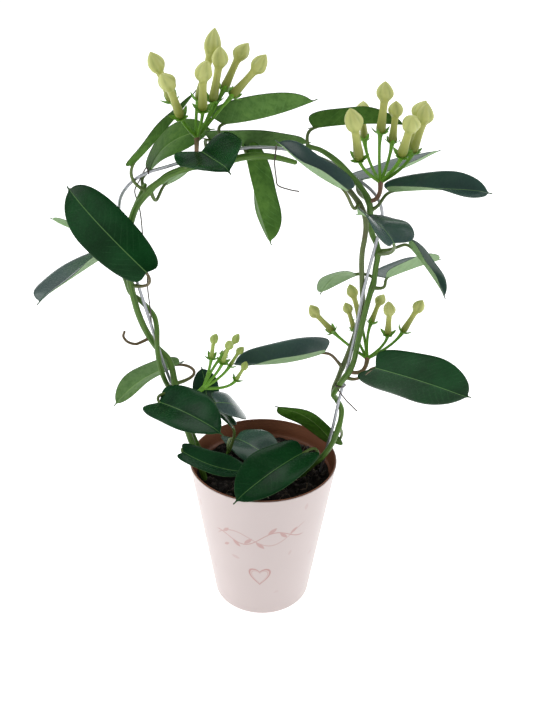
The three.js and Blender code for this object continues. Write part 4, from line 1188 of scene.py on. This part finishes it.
stalk_path = spline(BARE_STALK)
stalk_radius = BARE_RADIUS + BARE_FOOT * np.linspace(1, 0, len(stalk_path)) ** 2
stalk_body = tube(stalk_path, stalk_radius, 10, brown=BARE_BROWN)
make_piece("bare_stalk_curl", "bare_stalk", [stalk_body], [LOOK_STALK])
print("joints on the left stem:", len(joints_of("left")))

# %% [markdown]
# Two ties go once round the wire and a stem, and end in a loose tail. A third, long one
# hangs from the top of the hoop down its left side. They are thin tubes.

# %% Ties
TIE_RADIUS, TIE_ROOM_STEM, TIE_ROOM_WIRE = 0.5, 0.3, 0.2
FIRST_ARC, WIRE_ARC, LAST_ARC = (-60, -110), (-120, 180, 120), (100, 40, -20)
LONG_TIE = [[-83, -3, 375.5], [-84.5, -0.4, 379], [-86.8, 2.8, 375.6], [-91, 6, 367],
            [-95, 9, 358], [-92.5, 9, 347], [-91, 6, 338], [-90, 4, 320], [-88, 2, 300],
            [-87.8, 0, 284], [-86.5, -1, 268], [-86, -2, 257]]
TIES = {  # stem, place on the wire and points of the tail
    "tie_top": ("left", (7, 0, 392), [[7, -6, 375], [8, -7, 370], [16, -8, 367], [23, -9, 366]]),
    "tie_right": ("right", (60, 0, 204), [[64, -8, 194], [69, -9, 189], [73, -10, 185]]),
}


def tie_path(stem, near, tail):
    """Part of an arc round the stem, an arc round the far side of the wire, the rest of the
    one round the stem, then the tail. Angles are counted from the line between the two."""
    at = int(np.argmin(np.linalg.norm(HOOP_PATH - np.asarray(near, float), axis=1)))
    on_wire = HOOP_PATH[at]
    on_stem = STEM_PATHS[stem][nearest(stem, on_wire)]
    outward = (on_stem - on_wire) / np.linalg.norm(on_stem - on_wire)
    side = np.cross(outward, HOOP_PATH[at + 1] - HOOP_PATH[at - 1])
    side /= np.linalg.norm(side)

    def bend(centre, reach, degrees):
        """Points on an arc: centre + reach (outward cos + side sin)."""
        angle = np.radians(degrees)[:, None]
        return centre + reach * (outward * np.cos(angle) + side * np.sin(angle))

    round_stem = STEMS[stem][0] + TIE_RADIUS + TIE_ROOM_STEM
    round_wire = WIRE_RADIUS + TIE_RADIUS + TIE_ROOM_WIRE
    return np.vstack([bend(on_stem, round_stem, FIRST_ARC), bend(on_wire, round_wire, WIRE_ARC),
                      bend(on_stem, round_stem, LAST_ARC), tail])


tie_paths = {name: tie_path(*row) for name, row in TIES.items()}
tie_paths["tie_left"] = LONG_TIE
for name, points in tie_paths.items():
    make_piece(f"{name}_thread", name, [tube(spline(points, 8), TIE_RADIUS, 8)], [LOOK_TIE])
print("ties, in mm:", {name: round(lengths(spline(path))[-1]) for name, path in tie_paths.items()})

# %% [markdown]
# A blade starts as a flat outline: a superellipse at the heel, a blunt curve towards the
# tip, and a small point of its own at the very end. Beside the stalk it reaches back in two
# lobes. It is then folded along the midrib, twisted and arched from end to end, waved at the
# margin and bent down at the tip. The upper and lower faces are the same grid moved apart by
# the thickness, which runs out towards the margin.

# %% Outline of a leaf
BLADE_WIDEST, BODY_END, HEEL_POWER, END_POWERS = 0.42, 0.95, 2.6, (2.2, 0.6)
POINT_WIDTH, POINT_LENGTH, POINT_POWER = 0.085, 0.12, 0.8
LEAF_ROWS, LEAF_COLUMNS = 48, 25


def outline(share):
    """Half width along the blade, as a share of the greatest: a superellipse of power 2.6
    up to the widest place, (1 - t^2.2)^0.6 beyond it, and a narrow point, joined to them as
    the root of the sum of the squares."""
    back = np.clip(1 - share / BLADE_WIDEST, 0, 1)
    on = np.clip((share - BLADE_WIDEST) / (BODY_END - BLADE_WIDEST), 0, 1)
    heel = (1 - back**HEEL_POWER) ** (1 / HEEL_POWER)
    end = (1 - on ** END_POWERS[0]) ** END_POWERS[1]
    point = POINT_WIDTH * np.clip((1 - share) / POINT_LENGTH, 0, 1) ** POINT_POWER
    return np.hypot(np.where(share < BLADE_WIDEST, heel, end), point)


def blade_frame(base, tip, turn, twist, share):
    """The length, the way along, the upper face of the middle, and the upper face at each
    share of the length."""
    chord = np.asarray(tip, float) - np.asarray(base, float)
    length = np.linalg.norm(chord)
    along = chord / length
    level = np.array([0, 0, 1.0]) - along * along[2]
    level /= np.linalg.norm(level)
    across = np.cross(along, level)

    def face(degrees):
        """The level direction turned about the chord: level cos + across sin."""
        return level * np.cos(np.radians(degrees)) + across * np.sin(np.radians(degrees))

    return length, along, face(turn), face(turn + twist * (share - 0.5))


def sew_margin(rows, columns, count):
    """Faces that join the rim of one grid to the rim of a second, count points further on."""
    first = np.arange(columns)
    right = np.arange(1, rows) * columns + columns - 1
    last = (rows - 1) * columns + np.arange(columns - 2, -1, -1)
    left = np.arange(rows - 2, 0, -1) * columns
    rim = np.concatenate([first, right, last, left])
    after = np.roll(rim, -1)
    return np.stack([rim, after, after + count, rim + count], 1)


print("half width of a leaf at each tenth:", outline(np.linspace(0, 1, 11)).round(2))

# %% [markdown]
# Now the outline gets its form. The wave at the margin is what makes a leaf look alive. It
# could be sculpted, but as a formula it can still be changed by a number, and each leaf gets
# its own from the leaf's number.

# %% Fold, wave and curl of a leaf
WAVE_TURNS, WAVE_SLANT, WAVE_POWER = 1.6, 0.15, 2.2
DROOP_START, DROOP_POWER = 0.85, 1.5
EDGE_CURL, EDGE_POWER = 1.1, 5


def blade_lift(share, across, out, width, row, number):
    """How far a point stands above the midrib: the fold (sqrt(d^2 + 1) - 1) sin(fold), plus
    a wave that grows towards the margin, less the bend of the tip and the margin's curl."""
    half, _, _, fold, _, droop, wave = row
    phase = number * 1.7
    ripple = np.sin(2 * np.pi * (WAVE_TURNS * share + WAVE_SLANT * across) + phase)
    ripple = ripple + 0.5 * np.sin(11 * share + 2 * phase)
    folded = (np.sqrt(out**2 + 1) - 1) * np.sin(np.radians(fold))
    waved = wave * ripple * np.abs(across) ** WAVE_POWER * np.clip(width / half, 0, 1)
    tip_share = np.clip((share - DROOP_START) / (1 - DROOP_START), 0, 1)
    curled = EDGE_CURL * np.abs(across) ** EDGE_POWER * width / half
    return folded + waved - droop * tip_share**DROOP_POWER - curled


margin_lift = blade_lift(np.linspace(0, 1, 5), 1.0, 20.0, 20.0, LEAVES[0][5:12], 1)
print("lift of a margin 20 mm from the rib, in mm:", margin_lift.round(1))

# %% [markdown]
# Each point of the blade has a share of the length and a share of the width, and its place
# is a sum of steps: along the midrib, across it, and up by the lift. The mesh also notes how
# far each point is from the rib and from the margin. Modelled veins would take thousands of
# faces, but with these distances the shader can draw them.

# %% Leaf blades
HEEL_REACH, HEEL_FADE = 1.3, 6
BLADE_THICKNESS, RIB_HEIGHT, RIB_WIDTH = 0.8, 0.7, 0.7
LEAST_WIDTH = 0.5


def blade(leaf, number):
    """Two sewn grids, half a thickness above and below the middle. A point of the middle
    stands on the chord, plus the arch 4 a t (1 - t), plus its distance from the midrib across
    the leaf, plus the lift. Beside the stalk it is moved back, which makes the two lobes."""
    base, tip, *row = leaf[3:12]
    half, turn, twist, fold, arch, _, _ = row
    share = (1 - np.cos(np.pi * np.linspace(0, 1, LEAF_ROWS)))[:, None] / 2
    across = np.linspace(-1, 1, LEAF_COLUMNS)[None]
    length, along, middle_face, face = blade_frame(base, tip, turn, twist, share)
    side = np.cross(along, face)
    width = np.maximum(half * outline(share), LEAST_WIDTH)
    out = across * width
    lift = blade_lift(share, across, out, width, row, number)
    run = length * share - half * (np.abs(out) / half) ** HEEL_REACH * (1 - share) ** HEEL_FADE
    rise = arch * 4 * share * (1 - share)
    level = (out * np.cos(np.radians(fold)))[..., None] * side[:, None]
    middle = np.asarray(base, float) + run[..., None] * along + level
    middle = middle + lift[..., None] * face[:, None] + rise[..., None] * middle_face
    thick = BLADE_THICKNESS * (1 - 0.5 * across**2) * (1 - 0.25 * share)
    rib = RIB_HEIGHT * np.exp(-((out / RIB_WIDTH) ** 2)) * (1 - 0.75 * share)
    upper = middle + face[:, None] * (thick / 2 - 0.2 * rib)[..., None]
    lower = middle - face[:, None] * (thick / 2 + rib)[..., None]
    off = np.abs(out) + 0.35 * share
    count = LEAF_ROWS * LEAF_COLUMNS
    named = {
        "off": np.tile(np.where(out < 0, -off, off).ravel(), 2),
        "run": np.tile(run.ravel(), 2),
        "edge": np.tile(np.minimum(width - np.abs(out), length * (1 - share)).ravel(), 2),
        "under": np.repeat([0.0, 1.0], count),
        # One value per leaf: a paler underside, and painted sheen on the upper face.
        "pale": leaf[12],
    }
    quads = grid_faces(LEAF_ROWS, LEAF_COLUMNS)
    sewn = sew_margin(LEAF_ROWS, LEAF_COLUMNS, count)
    points = np.concatenate([upper.reshape(-1, 3), lower.reshape(-1, 3)])
    return Body(points, np.vstack([quads[:, ::-1], quads + count, sewn]), **named)


print("points of one leaf:", len(blade(LEAVES[0], 1).points))

# %% [markdown]
# The stalk of a leaf starts in the middle of the stem, where nobody sees its end, and comes
# to the blade from below the midrib. There it thins out and ends inside the blade.

# %% Leaf stalks and leaves
PETIOLE_RADIUS, PETIOLE_FOOT, FOOT_LENGTH, PETIOLE_END = 1.2, 0.4, 0.16, 0.6
PETIOLE_LEAD, PETIOLE_SUNK, PETIOLE_UNDER = 6.0, 3.0, (0.9, 0.6)


def petiole(leaf):
    """A cubic Bezier curve that swings into line with the midrib. Its radius is even, plus
    0.4 exp(-(t / 0.16)^2) at the stem, less 0.6 t^10 in the blade."""
    stem, foot, bend, base, tip, _, turn, twist, _, arch, _, _, _, brown = leaf
    length, along, middle_face, face = blade_frame(base, tip, turn, twist, 0.0)
    base = np.asarray(base, float)
    share = PETIOLE_SUNK / length
    lead = base - along * PETIOLE_LEAD - face * PETIOLE_UNDER[0]
    rise = middle_face * arch * 4 * share * (1 - share)
    end = base + along * PETIOLE_SUNK - face * PETIOLE_UNDER[1] + rise
    path = sweep(STEM_PATHS[stem][nearest(stem, foot)], bend, lead, end)
    t = np.linspace(0, 1, len(path))
    swell = PETIOLE_FOOT * np.exp(-((t / FOOT_LENGTH) ** 2))
    body = tube(path, PETIOLE_RADIUS + swell - PETIOLE_END * t**10, 10, look=1)
    flush = brown * np.clip(t * 4, 0, 1)
    body.values["brown"] = np.interp(body.values["along"], lengths(path), flush)
    return body


for number, leaf in enumerate(LEAVES, 1):
    make_piece(f"leaf_{number:02d}_blade", f"leaf_{number:02d}",
               [blade(leaf, number), petiole(leaf)], [LOOK_LEAF, LOOK_STALK])
print("leaves:", len(LEAVES))

# %% [markdown]
# A bud is a waisted tube with a head like a small onion. Five petals are rolled up in the
# head, so it has five soft ridges that turn on their way to the point, and their lower ends
# stand out as a low step. The profile was read off the real buds, from foot to point. A
# short bud is slimmer than a long one.

# %% Profile of a bud
BUD_HEIGHTS = [0, 0.02, 0.06, 0.12, 0.25, 0.42, 0.54, 0.62,
               0.68, 0.73, 0.79, 0.86, 0.92, 0.96, 0.985, 1]
BUD_RADII = [1.9, 2.7, 3.3, 3.45, 3.0, 2.65, 2.65, 2.9,
             4.7, 5.7, 5.9, 5.0, 3.5, 2.0, 1.0, 0.15]
BUD_RINGS, BUD_USUAL, BUD_GROWTH, BUD_MOST = 48, 38.0, 0.5, 1.04


def growth(base, tip):
    """How thick a bud is next to one of the usual length: its length to a power, up to the
    most that a full bud reaches."""
    length = np.linalg.norm(np.asarray(tip, float) - np.asarray(base, float))
    return min((length / BUD_USUAL) ** BUD_GROWTH, BUD_MOST)


def bud_radius():
    """The profile between its given heights, each ring evened out with its neighbours."""
    radius = np.interp(np.linspace(0, 1, BUD_RINGS), BUD_HEIGHTS, BUD_RADII)
    radius[1:-1] = np.convolve(radius, np.ones(3) / 3, "valid")
    return radius[:, None]


print("the bud's radius at each fourth ring:", bud_radius()[::4, 0].round(1))

# %% [markdown]
# A turned profile alone would look like a skittle. The ridges of the rolled petals are added
# as a wave round the girth, and no two buds lean the same way, because each takes its turn
# from its number. A bud is built upright and then tipped to its place.

# %% Buds
BUD_SIDES, PETALS_IN_BUD, YOUNG_GIRTH = 30, 5, 0.7
HEAD_START, HEAD_RISE, RIDGE_HEIGHT, TUBE_RIDGE, RIDGE_TURN = 0.60, 0.10, 0.17, 0.02, 1.5
STEP_DEPTH, STEP_TOP = 0.022, 0.8
LEAN, LEAN_POWER, LEAN_TURN = 0.06, 7, 2.1


def stand(points, base, axis):
    """Points built upright round the origin, tipped so that +Z runs along axis, then moved."""
    axis = np.asarray(axis, float) / np.linalg.norm(axis)
    turn = np.array(Vector((0, 0, 1)).rotation_difference(Vector(axis)).to_matrix())
    return points @ turn.T + np.asarray(base, float)


def bud(base, tip, number, share_of_girth):
    """Radius profile(t) times 1 + height (ridge - 0.55) in the head, where the ridge is
    |cos(5 (angle + turn t) / 2)|. The point leans to one side by a share of t^7, and the
    folds between the petals reach a little further down than the petals."""
    axis = np.asarray(tip, float) - np.asarray(base, float)
    length = np.linalg.norm(axis)
    t = np.linspace(0, 1, BUD_RINGS)[:, None]
    angle = np.linspace(0, 2 * np.pi, BUD_SIDES, endpoint=False)[None]
    ridge = np.abs(np.cos(PETALS_IN_BUD / 2 * (angle + RIDGE_TURN * t + number)))
    head = np.clip((t - HEAD_START) / HEAD_RISE, 0, 1) * np.clip((1.02 - t) / 0.12, 0, 1)
    girth = share_of_girth * growth(base, tip) * bud_radius()
    ridged = head * RIDGE_HEIGHT * (ridge - 0.55) + TUBE_RIDGE * (1 - head) * (ridge - 0.5)
    girth = girth * (1 + ridged)
    way = np.array([np.cos(number * LEAN_TURN), np.sin(number * LEAN_TURN)])
    lean = LEAN * length * t**LEAN_POWER
    drop = STEP_DEPTH * length * head * (1 - ridge) * np.clip((STEP_TOP - t) / HEAD_RISE, 0, 1)
    x, y = girth * np.cos(angle) + lean * way[0], girth * np.sin(angle) + lean * way[1]
    points = np.stack([x, y, length * t - drop], -1).reshape(-1, 3)
    poles = [[0, 0, 0], [*(LEAN * length * way), length]]
    named = {
        "height": np.concatenate([np.repeat(t[:, 0], BUD_SIDES), [0, 1]]),
        # This crease mask darkens the folds as painted shade and lowers them in the bump.
        "fold": np.concatenate([(head * (1 - ridge) ** 2).ravel(), [0, 0]]),
        "young": float(share_of_girth < YOUNG_GIRTH),
    }
    return Body(stand(np.vstack([points, poles]), base, axis),
                grid_faces(BUD_RINGS, BUD_SIDES, around=True), caps(BUD_SIDES, BUD_RINGS), **named)


print("points of a bud:", len(bud((0, 0, 0), (0, 0, 38), 1, 1.0).points))

# %% [markdown]
# At the foot of each bud five narrow sepals spread and curl up. They are tiny, but they stand
# out against the pale buds. Each is a small grid with two faces, like a leaf.

# %% Sepals
SEPALS, SEPAL_ROWS, SEPAL_COLUMNS = 5, 8, 5
SEPAL_LENGTH, SEPAL_HALF, SEPAL_THICK, SEPAL_POWER = 6.9, 2.7, 0.6, 0.8


def sepals(base, axis, number, size):
    """Five small pointed blades: each runs outwards and curls up by 1.1 s + 3.4 s^2, with a
    half width that falls to nothing as (1 - s)^0.8."""
    s = np.linspace(0, 1, SEPAL_ROWS)[:, None]
    v = np.linspace(-1, 1, SEPAL_COLUMNS)[None]
    reach = 1.0 + SEPAL_LENGTH * s * (1 - 0.12 * s) + 0 * v
    width = SEPAL_HALF * (1 - s) ** SEPAL_POWER * (0.75 + 0.9 * s) + 0.05
    rise = -0.5 + 1.1 * s + 3.4 * s**2 + 0.35 * v**2
    thick = SEPAL_THICK * (1 - 0.5 * s) * (1 - 0.5 * v**2)
    count = SEPAL_ROWS * SEPAL_COLUMNS
    quads = grid_faces(SEPAL_ROWS, SEPAL_COLUMNS)
    sewn = sew_margin(SEPAL_ROWS, SEPAL_COLUMNS, count)
    faces = np.vstack([quads, quads[:, ::-1] + count, sewn[:, ::-1]])
    bodies = []
    for k in range(SEPALS):
        turn = 2 * np.pi * k / SEPALS + number
        bend = 1 + 0.12 * np.sin(3 * k + number)
        x = reach * np.cos(turn) - v * width * np.sin(turn)
        y = reach * np.sin(turn) + v * width * np.cos(turn)
        pair = [np.stack([x, y, rise * bend + half], -1) for half in (thick / 2, -thick / 2)]
        points = np.concatenate(pair).reshape(-1, 3) * size
        bodies.append(Body(stand(points, base, axis), faces, look=1))
    return bodies


print("faces of a sepal:", len(sepals((0, 0, 0), (0, 0, 1), 1, 1.0)[0].quads))

# %% [markdown]
# The small stalks of a cluster all start at the head of the common stalk. Straight ones
# would look like spokes, so each bows outwards and comes into line with its bud, and swells
# under it. The buds are numbered through all clusters, so that no two have the same number.

# %% Flowers and clusters
STALK_RADIUS, STALK_SWELL, STALK_STEPS = 1.6, 0.5, 20
SMALL_STALK, HUB_SWELL, CALYX_SWELL, SMALL_STEPS, SMALL_BOW = 1.1, 0.3, 1.2, 14, 0.4


def flower(head, base, tip, number, girth):
    """A small stalk from the head of the common stalk, the bud that it carries and the sepals."""
    base, tip = np.asarray(base, float), np.asarray(tip, float)
    axis = (tip - base) / np.linalg.norm(tip - base)
    pull = base - axis * np.linalg.norm(base - head) * SMALL_BOW
    path = bow(head, pull, base + axis * 0.3, SMALL_STEPS)
    t = np.linspace(0, 1, SMALL_STEPS)
    size = growth(base, tip)
    radius = SMALL_STALK + HUB_SWELL * (1 - t) ** 4 + CALYX_SWELL * t**7 * size * girth
    return [tube(path, radius, 10, look=1), bud(base, tip, number, girth),
            *sepals(base, axis, number, size)]


def cluster(stem, foot, bend, top, girth, buds, start):
    """The common stalk, from the middle of the stem to its head, and a flower for each bud.
    In the youngest cluster the stalk is still green."""
    head = np.asarray(top, float)
    stalk = bow(STEM_PATHS[stem][nearest(stem, foot)], bend, head, STALK_STEPS)
    radius = STALK_RADIUS + STALK_SWELL * np.linspace(0, 1, STALK_STEPS) ** 6
    bodies = [tube(stalk, radius, 12, look=1 if girth < YOUNG_GIRTH else 2)]
    for number, (base, tip) in enumerate(buds, start):
        bodies += flower(head, base, tip, number, girth)
    return bodies


first_bud = 1
for name, (*place, buds) in CLUSTERS.items():
    make_piece(f"{name}_bloom", name, cluster(*place, buds, first_bud),
               [LOOK_BUD, LOOK_GREEN, LOOK_PINK])
    first_bud += len(buds)
print("buds:", first_bud - 1)

# %% [markdown]
# The plant stands on white ground that runs into the background without a line. Light on a
# plain white floor would fall off with distance and turn it grey, so the floor is one large
# sheet that glows a little itself. It is only the stage and not part of the object.

# %% Floor
FLOOR_GLOW, FLOOR_HALF = 0.62, 12.0
FLOOR_WHITE, GLOW_WHITE = (0.9, 0.9, 0.9, 1), (1, 1, 1, 1)


def make_floor():
    """One square face at height 0."""
    corners = [(x * FLOOR_HALF, y * FLOOR_HALF, 0) for x, y in ((-1, -1), (1, -1), (1, 1), (-1, 1))]
    mesh = bpy.data.meshes.new("floor")
    mesh.from_pydata(corners, [], [(0, 1, 2, 3)])
    f = Finish("floor", Base_Color=FLOOR_WHITE, Roughness=0.9, Emission_Color=GLOW_WHITE,
               Emission_Strength=FLOOR_GLOW)
    mesh.materials.append(f.done())
    floor = bpy.data.objects.new("floor", mesh)
    bpy.context.collection.objects.link(floor)


make_floor()
print("the floor is", 2 * FLOOR_HALF, "m wide")

# %% [markdown]
# The leaves are glossy, so they show the lights as much as they are lit by them. Big soft
# lights behind and at both sides give them their sheen, on top of the painted sheen in the
# colour of some leaves, and the sky is dim. The light from the front is weak, and so the
# leaves that face us stay dark.

# %% Light
SKY_COLOR, SKY_STRENGTH = (0.94, 0.97, 1.0, 1.0), 0.24
LIGHTS = {  # place and target in metres, width and height in metres, power in watts
    "back": ((-0.2, 1.5, 1.9), (0, 0, 0.25), (2.8, 1.8), 26),
    "left": ((-1.7, 0.2, 1.2), (0, 0, 0.2), (1.2, 1.8), 20),
    "right": ((1.7, 0.2, 1.2), (0, 0, 0.2), (1.2, 1.8), 20),
    "front": ((-0.8, -1.9, 1.9), (0, 0, 0.2), (1.6, 1.4), 15),
}


def make_light(name, place, target, size, power):
    """A rectangle that shines along its own -Z, turned so that this points at the target."""
    data = bpy.data.lights.new(name, "AREA")
    data.shape, data.size, data.size_y = "RECTANGLE", size[0], size[1]
    data.energy = power
    light = bpy.data.objects.new(name, data)
    turn = (Vector(target) - Vector(place)).to_track_quat("-Z", "Y").to_matrix().to_4x4()
    light.matrix_world = Matrix.Translation(place) @ turn
    bpy.context.collection.objects.link(light)


def make_sky():
    """One dim colour all round."""
    world = bpy.data.worlds.new("studio")
    world.use_nodes = True
    background = world.node_tree.nodes["Background"]
    background.inputs["Color"].default_value = SKY_COLOR
    background.inputs["Strength"].default_value = SKY_STRENGTH
    bpy.context.scene.world = world


make_sky()
for name, row in LIGHTS.items():
    make_light(name, *row)
bpy.context.scene.view_settings.view_transform = "Standard"
print("lights:", {name: row[-1] for name, row in LIGHTS.items()})

# %% [markdown]
